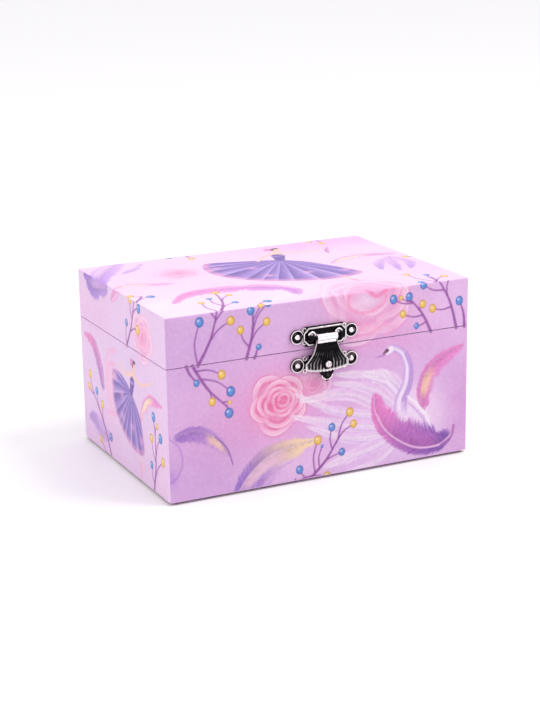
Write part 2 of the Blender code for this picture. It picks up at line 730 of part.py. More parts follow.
def comb():
    """Steel teeth cut from one plate, under the cylinder."""
    pitch = (CYLINDER_END - CYLINDER_START) / COMB_NOTES
    outline = [(CYLINDER_START, COMB_FOOT), (CYLINDER_END, COMB_FOOT)]
    for note in reversed(range(COMB_NOTES)):
        left = CYLINDER_START + pitch * note
        slot = left + 0.7 * pitch
        if note == COMB_NOTES - 1:
            outline.append((CYLINDER_END, COMB_ROOT))
        outline.append((slot, COMB_ROOT))
        outline += [(slot, COMB_TIP), (left, COMB_TIP), (left, COMB_ROOT)]
    outline = outline[:-1]
    holes = [circle(1.1 * MM, 10, (x, COMB_SCREW_Z)) for x in COMB_SCREWS_X]
    place = along(-Y, (0, TRAIN_Y, 0), up=Z)
    paint(plate("comb", [outline] + holes, MM, place), STEEL, 0.25, 1.0)
    for side, x in zip(("left", "right"), COMB_SCREWS_X):
        point = Vector((x, TRAIN_Y - 0.5 * MM - GAP, COMB_SCREW_Z))
        screw = nail(f"comb_screw_{side}", point, -Y, 5 * MM, 1.7 * MM, 0.8 * MM, MM)
        paint(screw, STEEL, 0.3, 1.0)


def movement_screws():
    for number, (x, z) in enumerate(MOVEMENT_SCREWS, 1):
        point = Vector((x, BACK_FACE + GAP, z))
        screw = nail(f"movement_screw_{number}", point, Y, 6.4 * MM, 2.4 * MM, 0.9 * MM, 1.2 * MM)
        paint(screw, STEEL, 0.3, 1.0)


def governor_bracket():
    """Two cheeks on one foot, which carry the cylinder's far end and the governor."""
    near, far, foot = TRAIN_Y - 2 * MM, BEDPLATE_FACE - GAP, 18 * MM
    top = FAN_Z + 3.5 * MM
    cheek = block("governor_bracket", (CHEEK_START, near, foot), (CHEEK_END, far, top))
    other = block("far_cheek", (FAR_CHEEK_START, near, foot), (FAR_CHEEK_END, far, top))
    base = block("bracket_foot", (CHEEK_START, far - MM, foot), (FAR_CHEEK_END, far, 26.5 * MM))
    join(cheek, other, base)
    start, middle, end = CHEEK_START - MM, CHEEK_END + MM, FAR_CHEEK_END + MM
    cylinder_line = (start, TRAIN_Y, MOVE_Z), (middle, TRAIN_Y, MOVE_Z)
    governor_line = (start, GOVERNOR_Y, GOVERNOR_Z), (end, GOVERNOR_Y, GOVERNOR_Z)
    fan_line = (start, FAN_Y, FAN_Z), (end, FAN_Y, FAN_Z)
    bores = [
        rod("bracket_cylinder_bore", *cylinder_line, 1.3 * MM),
        rod("bracket_governor_bore", *governor_line, 0.8 * MM, 12),
        rod("bracket_fan_bore", *fan_line, 0.8 * MM, 12),
    ]
    paint(cut(cheek, *bores), BRASS, 0.35, 1.0)


def barrel():
    """The mainspring's barrel, with a crown wheel whose teeth face the front."""
    sides = 2 * CROWN_TEETH
    depth = BEDPLATE_FACE - 0.5 * MM
    inner, outer = CROWN_RADIUS - 0.75 * MM, CROWN_RADIUS + 0.75 * MM
    profile = [
        (1.9 * MM, -CROWN_FACE),
        (inner, -CROWN_FACE),
        (outer, -CROWN_FACE),
        (outer, -CROWN_FACE - 1.7 * MM),
        (9 * MM, -CROWN_FACE - 1.7 * MM),
        (9 * MM, -depth),
        (1.9 * MM, -depth),
    ]
    place = along(-Y, (0, 0, MOVE_Z), up=Z)
    blank = turned("barrel_blank", profile, place, sides, closed=True)
    obj = meshed(blank)
    obj.name = "barrel"
    shape = bmesh.new()
    shape.from_mesh(obj.data)
    wanted = []
    for face in shape.faces:
        centre = face.calc_center_median()
        radius = math.hypot(centre.x, centre.y)
        on_band = inner < radius < outer and abs(centre.z + CROWN_FACE) < 0.01 * MM
        turn = math.atan2(centre.y, centre.x) / math.tau * sides
        if on_band and math.floor(turn) % 2 == 0:
            wanted.append(face)
    made = bmesh.ops.extrude_discrete_faces(shape, faces=wanted)["faces"]
    for face in made:
        middle = face.calc_center_median()
        bmesh.ops.scale(
            shape, vec=(0.75, 0.75, 1), space=Matrix.Translation(-middle), verts=face.verts
        )
        bmesh.ops.translate(shape, vec=(0, 0, CROWN_TOOTH), verts=face.verts)
    bmesh.ops.rotate(
        shape,
        cent=(0, 0, 0),
        matrix=Matrix.Rotation(-math.pi / sides, 3, "Z"),
        verts=shape.verts,
    )
    shape.to_mesh(obj.data)
    shape.free()
    paint(obj, BRASS, 0.35, 1.0)


def cylinder():
    """The pinned cylinder with its pinion at one end and the governor's spur wheel at the other."""
    middle = Vector((0, TRAIN_Y, MOVE_Z))
    drum = rod("cylinder", middle + X * CYLINDER_START, middle + X * CYLINDER_END, CYLINDER, 24)
    arbor = rod("cylinder_arbor", middle + X * 9 * MM, middle + X * 32.5 * MM, MM, 12)
    pinion = crown_pinion(
        "cylinder_pinion",
        along(X, middle + X * CROWN_RADIUS, up=Z),
        math.pi / PINION_TEETH,
    )
    wheel = spur(
        "cylinder_wheel",
        SPUR_TEETH,
        along(X, middle + X * (SPUR_START + SPUR_END) / 2, up=Z),
        SPUR_END - SPUR_START,
        GOVERNOR_ANGLE,
    )
    paint(join(drum, arbor, pinion, wheel), BRASS, 0.3, 1.0)


def governor():
    """The step-up wheel, and the air brake that it spins."""
    centre = Vector((0, GOVERNOR_Y, GOVERNOR_Z))
    wheel = spur(
        "governor_wheel",
        GOVERNOR_TEETH,
        along(X, centre + X * (WHEEL_START + WHEEL_END) / 2, up=Z),
        WHEEL_END - WHEEL_START,
        FAN_ANGLE,
    )
    pinion = spur(
        "governor_pinion",
        GOVERNOR_PINION_TEETH,
        along(X, centre + X * (SPUR_START + SPUR_END) / 2, up=Z),
        SPUR_END - SPUR_START,
        GOVERNOR_ANGLE + math.pi + math.pi / GOVERNOR_PINION_TEETH,
    )
    arbor = rod("governor_arbor", centre + X * SPUR_START, centre + X * FAR_CHEEK_END, ARBOR, 12)
    paint(join(wheel, pinion, arbor), BRASS, 0.3, 1.0)

    centre = Vector((0, FAN_Y, FAN_Z))
    fan = rod("governor_fan", centre + X * CHEEK_START, centre + X * FAR_CHEEK_END, ARBOR, 12)
    hub = rod("fan_hub", centre + X * VANE_START, centre + X * HUB_END, FAN_HUB, 12)
    leaves = spur(
        "fan_pinion",
        FAN_PINION_TEETH,
        along(X, centre + X * (WHEEL_START + WHEEL_END) / 2, up=Z),
        WHEEL_END - WHEEL_START,
        FAN_ANGLE + math.pi + math.pi / FAN_PINION_TEETH,
    )
    vane = block(
        "fan_vane",
        (VANE_START, FAN_Y - FAN_VANE, FAN_Z - 0.25 * MM),
        (VANE_END, FAN_Y + FAN_VANE, FAN_Z + 0.25 * MM),
    )
    paint(join(fan, hub, leaves, vane), (0.8, 0.8, 0.82), 0.35, 1.0)


def spindle():
    """The upright shaft from the crown wheel to the turntable under the dancer."""
    centre = Vector((0, TRAIN_Y, 0))
    shaft = rod("spindle", centre + Z * 31 * MM, centre + Z * TURNTABLE_TOP, SHAFT, 12)
    pinion = crown_pinion(
        "spindle_pinion",
        Matrix.Translation(centre + Z * (MOVE_Z + CROWN_RADIUS)),
        math.pi / 2 + math.pi / PINION_TEETH,
    )
    disc = rod("turntable", centre + Z * (STAGE_TOP + GAP), centre + Z * TURNTABLE_TOP, TURNTABLE, 24)
    paint(join(shaft, pinion, disc), (0.92, 0.90, 0.88), 0.4)


def winding():
    """The key outside the back, on the arbor that winds the mainspring."""
    centre = Vector((0, 0, MOVE_Z))
    arbor = rod("winding_arbor", centre + Y * CROWN_FACE, centre + Y * 60 * MM, WINDING_ARBOR, 12)
    paint(arbor, STEEL, 0.3, 1.0)
    key = turned(
        "winding_key",
        [
            (0, KEY_NECK + MM),
            (2.2 * MM, KEY_NECK + MM),
            (3.0 * MM, KEY_NECK - 2 * MM),
            (3.0 * MM, KEY_START),
            (WINDING_ARBOR + GAP, KEY_START),
            (WINDING_ARBOR + GAP, KEY_NECK - MM),
            (0, KEY_NECK - MM),
        ],
        along(Y, centre),
        16,
    )
    wings = block(
        "key_wings",
        (-11 * MM, KEY_NECK, MOVE_Z - 0.9 * MM),
        (11 * MM, KEY_END, MOVE_Z + 0.9 * MM),
    )
    bevel = wings.modifiers.new("Bevel", "BEVEL")
    bevel.limit_method = "NONE"
    bevel.width = 0.4 * MM
    join(key, wings)
    paint(key, STEEL, 0.25, 1.0)


# ---------------------------------------------------------------- the dancer, the wire and the ribbon
def dancer():
    """She leans forward about the middle of her spring, so her own frame is tilted by the fold."""
    own_frame = Matrix.Translation(PIVOT) @ Matrix.Rotation(FOLD, 4, "X")
    dancer_axis = bpy.data.objects.new("dancer_axis", None)
    dancer_axis.matrix_world = own_frame
    PARTS.objects.link(dancer_axis)
    outline = [
        (0, 31.6), (0.75, 31.4), (0.75, 30.2), (1.9, 29.2), (1.9, 27.6), (1.35, 25.2), (1.9, 23.2),
        (1.9, 19.5), (1.5, 16.5), (0.95, 13.0), (1.15, 11.0), (0.6, 7.6), (0.8, 6.8),
        (2.6, 6.4), (2.6, 5.0), (0, 5.0),
    ]
    figure = turned("ballerina_figure", [(r * MM, z * MM) for r, z in outline], own_frame, 12)
    head = ball("ballerina_head", own_frame @ Vector((0, 0, 33.6 * MM)), 2.3 * MM)
    arms = []
    for side in (-1, 1):
        reach = [
            (side * 1.2, 0.0, 28.9), (side * 3.0, -0.4, 31.0), (side * 3.9, -0.6, 34.0),
            (side * 3.3, -0.6, 37.6), (side * 1.9, -0.6, 40.2), (side * 0.9, -0.6, 41.2),
        ]
        points = [(x * MM, y * MM, z * MM) for x, y, z in reach]
        arms.append(sweep(f"ballerina_arm_{side}", points, 0.55 * MM, own_frame))
    join(figure, head, *arms)
    paint(figure, (0.93, 0.78, 0.70), 0.4)
    tutu = turned(
        "ballerina_tutu",
        [(x * MM, z * MM) for x, z in ((2.3, 22.6), (13.0, 21.6), (13.0, 20.4), (2.3, 20.0))],
        own_frame,
        24,
        closed=True,
    )
    paint(tutu, (0.96, 0.80, 0.88), 0.8)
    for piece in (figure, tutu):
        placed = piece.matrix_world.copy()
        piece.parent = dancer_axis
        piece.matrix_world = placed


def dancer_spring():
    """A close coil on an arc: upright at the turntable, and leaning by the fold at the dancer's foot."""
    arc_radius = SPRING_ARM / math.tan(FOLD / 2)
    seat = PIVOT - Z * SPRING_ARM
    points = []
    steps = 8 * SPRING_TURNS
    for i in range(steps + 1):
        bend = FOLD * i / steps
        turn = math.tau * SPRING_TURNS * i / steps
        centre = seat + arc_radius * Vector((0, math.cos(bend) - 1, math.sin(bend)))
        outward = Vector((0, math.cos(bend), math.sin(bend)))
        points.append(centre + SPRING_RADIUS * (math.cos(turn) * X + math.sin(turn) * outward))
    paint(sweep("ballerina_spring", points, SPRING_WIRE), STEEL, 0.3, 1.0)


def stop_wire():
    """The wire that the closed lid presses onto the fan's hub, which stops the music."""
    foot = FAN_Z + FAN_HUB + 0.4 * MM
    wire = rod("stop_wire", (WIRE_X, FAN_Y, foot), (WIRE_X, FAN_Y, WIRE_TOP), WIRE, 10)
    paint(wire, STEEL, 0.3, 1.0)


def lid_ribbon():
    """The satin stay. It is straight when the lid stands open, and folds back towards the hinges."""
    hinge = Vector((0, HINGE_AXIS_Y, SEAM))
    foot = Vector((0, RIBBON_FOOT_Y, STAGE_TOP + GAP + RIBBON / 2)) - hinge
    head = Vector((0, RIBBON_HEAD_Y, LID_LINING_FACE - GAP - RIBBON / 2)) - hinge
    opened = Matrix.Rotation(-LID_ANGLE, 3, "X") @ head
    steps = 16
    outline = []
    for i in range(steps + 1):
        share = i / steps
        weight = share * share * (3 - 2 * share)
        where = Matrix.Rotation(LID_ANGLE * weight, 3, "X") @ foot.lerp(opened, share)
        outline.append((hinge + where).yz)
    normals = []
    for i in range(steps + 1):
        run = outline[min(i + 1, steps)] - outline[max(i - 1, 0)]
        normals.append(Vector((-run.y, run.x)).normalized() * RIBBON / 2)
    front = [tuple(p + n) for p, n in zip(outline, normals)]
    back = [tuple(p - n) for p, n in zip(outline, normals)]
    place = along(X, (RIBBON_X, 0, 0), up=Z)
    ribbon = plate("lid_stay_ribbon", [front + back[::-1]], RIBBON_WIDTH, place)
    paint(ribbon, (0.93, 0.72, 0.82), 0.4)


def smooth_round_parts():
    """Shades round pieces smooth, with sharp edges kept."""
    for obj in PARTS.objects:
        if obj.type != "MESH" or len(obj.data.polygons) < 12:
            continue
        obj.data.shade_smooth()
        obj.data.set_sharp_from_angle(angle=math.radians(35))


body_shell()
lid_shell()
inside()
hinges()
clasp()
nails()
bedplate()
comb()
movement_screws()
governor_bracket()
barrel()
cylinder()
governor()
spindle()
winding()
dancer()
dancer_spring()
stop_wire()
lid_ribbon()
smooth_round_parts()
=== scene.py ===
# %% [markdown]
# # A ballerina jewellery box
# A small hinged box of fibreboard, wrapped in printed paper, with a musical movement under a little
# stage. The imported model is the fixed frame, and everything below is dressed around it.

# %% Load the frame
import math
import bpy
import bmesh
import numpy as np
from mathutils import Matrix, Vector


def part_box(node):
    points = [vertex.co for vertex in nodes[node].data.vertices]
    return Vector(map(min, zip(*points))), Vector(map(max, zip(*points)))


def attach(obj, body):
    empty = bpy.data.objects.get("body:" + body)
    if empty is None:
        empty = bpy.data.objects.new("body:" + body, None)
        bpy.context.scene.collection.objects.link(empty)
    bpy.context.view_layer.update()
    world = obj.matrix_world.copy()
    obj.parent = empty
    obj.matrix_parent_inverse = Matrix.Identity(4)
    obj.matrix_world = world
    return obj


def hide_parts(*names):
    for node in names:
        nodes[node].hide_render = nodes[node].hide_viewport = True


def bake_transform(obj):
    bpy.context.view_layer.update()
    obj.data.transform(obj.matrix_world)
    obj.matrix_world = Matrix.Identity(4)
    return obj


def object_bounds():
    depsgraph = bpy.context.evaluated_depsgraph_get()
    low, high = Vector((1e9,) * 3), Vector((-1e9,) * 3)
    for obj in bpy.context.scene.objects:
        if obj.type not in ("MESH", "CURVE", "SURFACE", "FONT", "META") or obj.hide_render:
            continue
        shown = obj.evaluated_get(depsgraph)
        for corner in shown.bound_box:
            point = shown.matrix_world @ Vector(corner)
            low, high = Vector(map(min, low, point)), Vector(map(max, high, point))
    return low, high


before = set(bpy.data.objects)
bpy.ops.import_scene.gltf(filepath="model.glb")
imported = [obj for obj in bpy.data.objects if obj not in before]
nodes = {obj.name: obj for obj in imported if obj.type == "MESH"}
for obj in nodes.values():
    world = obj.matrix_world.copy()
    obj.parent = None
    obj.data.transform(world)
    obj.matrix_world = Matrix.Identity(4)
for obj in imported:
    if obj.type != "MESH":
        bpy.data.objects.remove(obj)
cad_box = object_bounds()
MM = 0.001

# %% [markdown]
# ## Camera
# The box stands on a table and is seen from its front left corner, a little from above, with a
# long lens, so its edges hardly converge.

# %% Camera
AZIMUTH, ELEVATION, ROLL = math.radians(-25.726), math.radians(16.138), math.radians(-0.956)
DISTANCE, LENS, SENSOR = 0.80759, 85.99, 36
TARGET = Vector((-0.0006, 0, 0.04196))

level = math.cos(ELEVATION)
back = Vector((math.sin(AZIMUTH) * level, -math.cos(AZIMUTH) * level, math.sin(ELEVATION)))
right = (-back).cross(Vector((0, 0, 1))).normalized()
up = right.cross(-back)
rolled_right = right * math.cos(ROLL) + up * math.sin(ROLL)
rolled_up = up * math.cos(ROLL) - right * math.sin(ROLL)
turn = Matrix((rolled_right, rolled_up, back)).transposed().to_4x4()
camera_data = bpy.data.cameras.new("camera")
camera_data.lens, camera_data.sensor_width = LENS, SENSOR
camera_data.clip_start, camera_data.clip_end = 0.01, 20
camera = bpy.data.objects.new("camera", camera_data)
bpy.context.scene.collection.objects.link(camera)
camera.matrix_world = Matrix.Translation(TARGET + back * DISTANCE) @ turn
bpy.context.scene.camera = camera
print("camera at", [round(number, 3) for number in camera.location])

# %% [markdown]
# ## Shader sums
# A pattern is easier to read as a formula. Wire wraps one socket, so that `1 - mask * 0.5` adds the
# Math nodes by itself, and Recipe is one material with a single method for any other node.

# %% Shader sums
class Wire:
    """One output socket that takes part in sums. Numbers go through Math, vectors through Vector Math."""

    def __init__(self, recipe, socket):
        self.recipe, self.socket = recipe, socket

    def sum(self, operation, first, second):
        kind = "ShaderNodeVectorMath" if self.socket.type == "VECTOR" else "ShaderNodeMath"
        if kind == "ShaderNodeVectorMath" and not isinstance(second, Wire):
            second = (second,) * 3 if isinstance(second, (int, float)) else second
        return self.recipe.node(kind, {"operation": operation}, {0: first, 1: second})

    def __add__(self, other):
        return self.sum("ADD", self, other)

    def __sub__(self, other):
        return self.sum("SUBTRACT", self, other)

    def __mul__(self, other):
        return self.sum("MULTIPLY", self, other)

    def __rsub__(self, other):
        return self.sum("SUBTRACT", other, self)

    __radd__, __rmul__ = __add__, __mul__

    def ramp(self, low, high):
        """0 below low, 1 above high, smooth between."""
        settings = {"interpolation_type": "SMOOTHSTEP"}
        return self.recipe.node("ShaderNodeMapRange", settings,
            {"Value": self, "From Min": low, "From Max": high})


class Recipe:
    """One material, made of nodes."""

    def __init__(self, name):
        self.material = bpy.data.materials.new(name)
        self.material.use_nodes = True
        self.tree = self.material.node_tree
        self.tree.nodes.clear()
        self.place = self.node("ShaderNodeTexCoord", out="Object")

    def node(self, kind, settings=None, inputs=None, out=0):
        made = self.tree.nodes.new(kind)
        for key, value in (settings or {}).items():
            setattr(made, key, value)
        self.feed(made, (inputs or {}).items())
        return Wire(self, made.outputs[out])

    def feed(self, made, inputs):
        """Links the wires, and sets the numbers and colours, on a node's sockets."""
        for key, value in inputs:
            if isinstance(value, Wire):
                self.tree.links.new(value.socket, made.inputs[key])
            else:
                colour = isinstance(value, str)
                made.inputs[key].default_value = (*shade(value), 1) if colour else value

    def noise(self, scale, detail=3, place=None, rough=0.5):
        return self.node("ShaderNodeTexNoise", None, {"Vector": place or self.place, "Scale": scale,
            "Detail": detail, "Roughness": rough})

    def mix(self, factor, first, second, blend="MIX"):
        """A colour between first and second."""
        made = self.tree.nodes.new("ShaderNodeMix")
        made.data_type, made.blend_type = "RGBA", blend
        self.feed(made, ((0, factor), (6, first), (7, second)))
        return Wire(self, made.outputs[2])

    def finish(self, colour, roughness, relief=None, depth=0.0002, strength=0.4, **uniform):
        """A Principled surface: relief feeds a Bump node, and uniform holds the other sockets."""
        inputs = {"Base Color": colour, "Roughness": roughness}
        inputs.update({key.replace("_", " "): value for key, value in uniform.items()})
        if relief is not None:
            inputs["Normal"] = self.node("ShaderNodeBump", None,
                {"Height": relief, "Distance": depth, "Strength": strength})
        surface = self.node("ShaderNodeBsdfPrincipled", None, inputs)
        end = self.tree.nodes.new("ShaderNodeOutputMaterial")
        self.tree.links.new(surface.socket, end.inputs["Surface"])
        return self.material


def tint(code):
    """A hex colour as three shares of 1."""
    return np.array([int(code[i : i + 2], 16) for i in (1, 3, 5)]) / 255


def linear(parts):
    """Screen colours as the light that they stand for."""
    return np.where(parts <= 0.04045, parts / 12.92, ((parts + 0.055) / 1.055) ** 2.4)


def shade(code):
    return tuple(linear(tint(code)))


print("wires and recipes ready")

# %% [markdown]
# ## Colours of the wrap
# The print is a dreamy watercolour: lilac and pink washes that run into each other, with nothing
# saturated but the small glossy berries.

# %% Colours
PINK, PALE, WHITE = "#e6a9dc", "#efd8f1", "#fbf1fb"
ROSE, DEEP_ROSE, MAGENTA = "#f3a5cd", "#e978ae", "#d266b4"
VIOLET, SKIRT, SKIRT_DARK = "#a574cf", "#a88dd9", "#6547a2"
BERRIES, STEM = {"b": ("#5b94da", "#3060ad"), "y": ("#f1cf55", "#cf9a2c")}, "#8f459d"
SKIN, HAIR = "#f2c9ba", "#4a3044"
FRONT_ROSE = {"pale": "#fac9df", "deep": "#e4588f"}
LID_ROSE = {"pale": "#fbd3e6", "deep": "#f083b8", "turn": 0.7, "rings": 3}

# %% [markdown]
# ## A printed canvas
# Each face of the wrap is a fine grid whose points carry a colour. The picture is painted on them
# with a few brushes: a soft wash, a line of changing width, a berry, a sprig, a feather, a rose and
# a pleated skirt. Every place is in millimetres from the face's upper left corner.

# %% Brushes
def curve_through(points, steps=10):
    """A smooth line through points (Catmull-Rom)."""
    p = np.array([points[0], *points, points[-1]], float)
    t = np.linspace(0, 1, steps, endpoint=False)[:, None]
    parts = []
    for a, b, c, d in zip(p, p[1:], p[2:], p[3:]):
        square, cube = 2 * a - 5 * b + 4 * c - d, 3 * b - a - 3 * c + d
        parts.append(0.5 * (2 * b + (c - a) * t + square * t**2 + cube * t**3))
    return np.vstack([*parts, p[-1:]])


def step(value, low, high):
    """0 below low, 1 above high, smooth between."""
    value = np.clip((value - low) / (high - low), 0, 1)
    return value * value * (3 - 2 * value)


def ripple(a, b, seed):
    """Smooth noise from 0 to 1 over two coordinates."""
    def corner(i, j):
        return np.modf(np.abs(np.sin(i * 127.1 + j * 311.7 + seed * 74.7) * 43758.5453))[0]
    i, j = np.floor(a), np.floor(b)
    f, g = a - i, b - j
    f, g = f * f * (3 - 2 * f), g * g * (3 - 2 * g)
    top = corner(i, j) * (1 - f) + corner(i + 1, j) * f
    low = corner(i, j + 1) * (1 - f) + corner(i + 1, j + 1) * f
    return top * (1 - g) + low * g


class Canvas:
    """Points at (u, v) millimetres on one face, and their colours."""

    def __init__(self, u, v, ground):
        self.u, self.v = u, v
        self.rgb = np.tile(tint(ground), (len(u), 1))

    def lay(self, part, colour, cover):
        """Paints the points in part, from cover 0, clear, to 1, solid."""
        cover = np.clip(cover, 0, 1)[:, None]
        colour = tint(colour) if isinstance(colour, str) else colour
        self.rgb[part] = self.rgb[part] * (1 - cover) + colour * cover

    def within(self, low, high):
        wide = (self.u > low[0]) & (self.u < high[0])
        return np.flatnonzero(wide & (self.v > low[1]) & (self.v < high[1]))

    def near(self, line, reach):
        """The points near a line, with their distance to it, their side and how far along they are."""
        part = self.within(line.min(0) - reach, line.max(0) + reach)
        if not len(part):
            return part, part, part, part
        point = np.stack([self.u[part], self.v[part]], 1)[:, None]
        step_on, start = np.diff(line, axis=0), line[:-1]
        long = np.maximum((step_on**2).sum(1), 1e-9)
        along = np.clip(((point - start) * step_on).sum(2) / long, 0, 1)
        gap = point - start - along[..., None] * step_on
        away = np.hypot(gap[..., 0], gap[..., 1])
        best = away.argmin(1)
        row = np.arange(len(part))
        gap, chosen = gap[row, best], step_on[best]
        side = np.sign(chosen[:, 0] * gap[:, 1] - chosen[:, 1] * gap[:, 0])
        run = np.concatenate([[0], np.cumsum(np.sqrt(long))])
        t = (run[best] + along[row, best] * np.sqrt(long)[best]) / run[-1]
        return part, away[row, best], side, t

    def wash(self, u, v, wide, tall, colour, cover):
        """A soft round pool of colour."""
        far = ((self.u - u) / wide) ** 2 + ((self.v - v) / tall) ** 2
        uneven = 0.75 + 0.5 * ripple(self.u / 9, self.v / 7, wide)
        self.lay(slice(None), colour, cover * np.exp(-far) * uneven)

    def line(self, points, width, colour, cover=1.0, end=None, soft=0.35, taper=0.0):
        """A line through points. Half its thickness is width where it starts and end where it ends."""
        end = width if end is None else end
        part, away, _, t = self.near(curve_through(points), max(width, end) + soft)
        if len(part):
            thick = width + (end - width) * t
            cover = cover * step(thick + soft / 2 - away, 0, soft)
            self.lay(part, colour, cover * (1 - taper * (1 - np.sin(np.pi * t))))

    def berry(self, u, v, size, colour, dark):
        """A glossy oval bud with a small highlight."""
        part = self.within((u - size * 2, v - size * 2), (u + size * 2, v + size * 2))
        x, y = self.u[part] - u, self.v[part] - v
        far = np.hypot(x / 0.86, y) / size
        self.lay(part, dark, step(1.12 - far, 0, 0.25))
        self.lay(part, colour, step(0.95 - far, 0, 0.45))
        gleam = np.hypot(x + size * 0.25, y + size * 0.3) / size
        self.lay(part, WHITE, 0.75 * step(0.42 - gleam, 0, 0.35))

    def sprig(self, base, top, twigs):
        """A stem from base to top with twigs: (share of the stem, berry u, berry v, size, kind)."""
        width = 0.75
        base, top = np.array(base, float), np.array(top, float)
        bow = np.array([base[1] - top[1], top[0] - base[0]]) * 0.06
        stem = [base, (base + top) / 2 + bow, top]
        spine = curve_through(stem)
        self.line(stem, width, STEM, 0.9, width * 0.45, 0.5)
        for share, u, v, size, kind in twigs:
            root = spine[int(share * (len(spine) - 1))]
            end = np.array((u, v), float)
            middle = root * 0.5 + end * 0.5 + (end - root)[::-1] * (0.1, -0.1)
            self.line([root, middle, end], width * 0.55, STEM, 0.85, width * 0.36, 0.5)
            self.berry(u, v, size, *BERRIES[kind])

    def feather(self, points, width, colours, cover=0.9, seed=1, lean=0.0, quill="#b06abc",
        glow=(0.0, 0.75)):
        """A curled feather along points. colours are its root, its tip and its warm inside, which
        shows between the two shares in glow, and lean moves its width to one side."""
        root, tip, inside = (tint(c) for c in colours)
        line = curve_through(points, 14)
        part, away, side, t = self.near(line, width * 1.7)
        if not len(part):
            return
        span = np.hypot(*np.diff(line, axis=0).T).sum()
        sweep = t * span - away * 0.9
        barb = ripple(sweep * 1.6, side * 3 + 5, seed)
        fine = ripple(sweep * 4.5, side * 2 + 9, seed + 3)
        shape = np.sin(np.pi * np.clip(t, 0, 1) ** 0.8) ** 0.55 * (1 + lean * side)
        split = step(ripple(t * 9, side * 2, seed + 6), 0.78, 0.95)
        half = width * shape * (0.86 + 0.2 * barb - 0.25 * split) + 1e-6
        share = away / half
        edge = step(1.06 - share - 0.12 * fine, 0, 0.34)
        ends = step(t, 0.0, 0.05) * step(1 - t, 0.0, 0.03)
        colour = root + (tip - root) * step(t, 0.1, 0.9)[:, None]
        warm = step(0.85 - share, 0, 0.5) * step(t, glow[0], glow[0] + 0.2) * step(glow[1] - t, 0, 0.25)
        colour = colour + (inside - colour) * (warm * (side > 0))[:, None] * 0.9
        colour = colour + (1 - colour) * (0.32 * (fine - 0.35) * step(share, 0.1, 0.8))[:, None]
        colour = colour * (1 - 0.16 * barb * step(0.5 - share, 0, 0.5))[:, None]
        self.lay(part, np.clip(colour, 0, 1), cover * edge * ends)
        self.line(points, 0.42, WHITE, 0.55, 0.16, 0.7)
        self.line(points, 0.22, quill, 0.75, 0.1, 0.5)

    def rose(self, u, v, size, pale="#fbcfe3", deep=DEEP_ROSE, cover=0.85, turn=0.4, rings=5):
        """Crescent petals laid from the outside in, over a heart of deep pink."""
        self.wash(u, v, size * 0.85, size * 0.8, ROSE, 0.85 * cover)
        self.wash(u, v, size * 0.45, size * 0.42, deep, 0.9 * cover)
        lips = np.array([(-1, 0.84), (-0.5, 1.0), (0, 1.1), (0.5, 1.03), (1, 0.86)])
        petals = ((0.88, 5), (0.68, 4), (0.5, 4), (0.34, 3), (0.19, 2))
        for ring, (share, count) in enumerate(petals[:rings]):
            thick = size * (0.085 - 0.009 * ring)
            strokes = (  # scale, width, colour, cover, end, soft, taper
                (0.8, thick, deep, 0.45 + 0.09 * ring, thick * 0.8, size * 0.12, 0.85),
                (0.93, thick, pale, 0.9, thick * 0.7, size * 0.06, 0.8),
                (1, size * 0.018, "#fff3f9", 0.75, size * 0.012, size * 0.03, 0.8),
                (1.05, size * 0.02, deep, 0.5, size * 0.012, size * 0.05, 0.9),
            )
            for k in range(count):
                way = turn + ring * 1.15 + k * math.tau / count + 0.6 * math.tau / count * lips[:, 0]
                reach = size * share * lips[:, 1] * (1 + 0.1 * math.sin(2.3 * k + 1.7 * ring))
                arc = np.column_stack([reach * np.cos(way), reach * 0.92 * np.sin(way)])
                arc = arc + size * 0.06 * ring * np.array([math.cos(turn), -math.sin(turn)])
                for scale, width, colour, solid, end, soft, taper in strokes:
                    self.line(arc * scale + (u, v), width, colour, solid * cover, end, soft, taper)
        heart = np.array([(-0.07, 0), (0, -0.07), (0.08, 0), (0, 0.06)]) * size + (u, v)
        self.line(heart, size * 0.02, "#d94f90", 0.8 * cover, size * 0.01, size * 0.03)

    def skirt(self, waist, hem):
        """A bell skirt: hem is the line of its edge, and its folds run from the waist."""
        line = curve_through(hem, 16)
        waist = np.array(waist, float)
        outline = np.vstack([line, waist])
        part = self.within(outline.min(0) - 3, outline.max(0) + 3)
        if not len(part):
            return
        x, y = self.u[part] - waist[0], self.v[part] - waist[1]
        angle = np.arctan2(y, x)
        rim = line - waist
        rim_angle, rim_reach = np.arctan2(rim[:, 1], rim[:, 0]), np.hypot(*rim.T)
        rim_angle, angle = (np.where(a < -np.pi / 2, a + math.tau, a) for a in (rim_angle, angle))
        order = rim_angle.argsort()
        reach = np.interp(angle, rim_angle[order], rim_reach[order])
        low, high = rim_angle.min(), rim_angle.max()
        share = np.hypot(x, y) / reach
        turn = (angle - low) / (high - low)
        inside = step(1.0 - share, 0, 0.03) * step(turn, -0.01, 0.02) * step(1 - turn, -0.01, 0.02)
        fine = ripple(turn * 34, share * 2.5, 8)
        pleat = (turn * 12 + 0.8 * ripple(turn * 5, share * 1.2, 4)) % 1
        fold = step(pleat, 0, 0.12) * (1 - pleat)
        mixed = np.clip(1.1 * fold + 0.35 * fine - 0.12, 0, 1)[:, None]
        body = tint(SKIRT_DARK) * (1 - mixed) + tint(SKIRT) * mixed
        body = body + (1 - body) * (0.5 * step(fold, 0.72, 0.95) * step(fine, 0.3, 0.9))[:, None]
        self.lay(part, body, 0.93 * inside)
        edge = inside * step(share, 0.87, 0.95) * (0.55 + 0.45 * fine)
        self.lay(part, ROSE, 0.8 * edge)
        for place, far in ((0.12, 0.8), (0.3, 0.62), (0.52, 0.75), (0.7, 0.5), (0.86, 0.85)):
            at = low + (high - low) * place
            long = np.interp(at, rim_angle[order], rim_reach[order]) * far
            u, v = waist[0] + long * math.cos(at), waist[1] + long * math.sin(at)
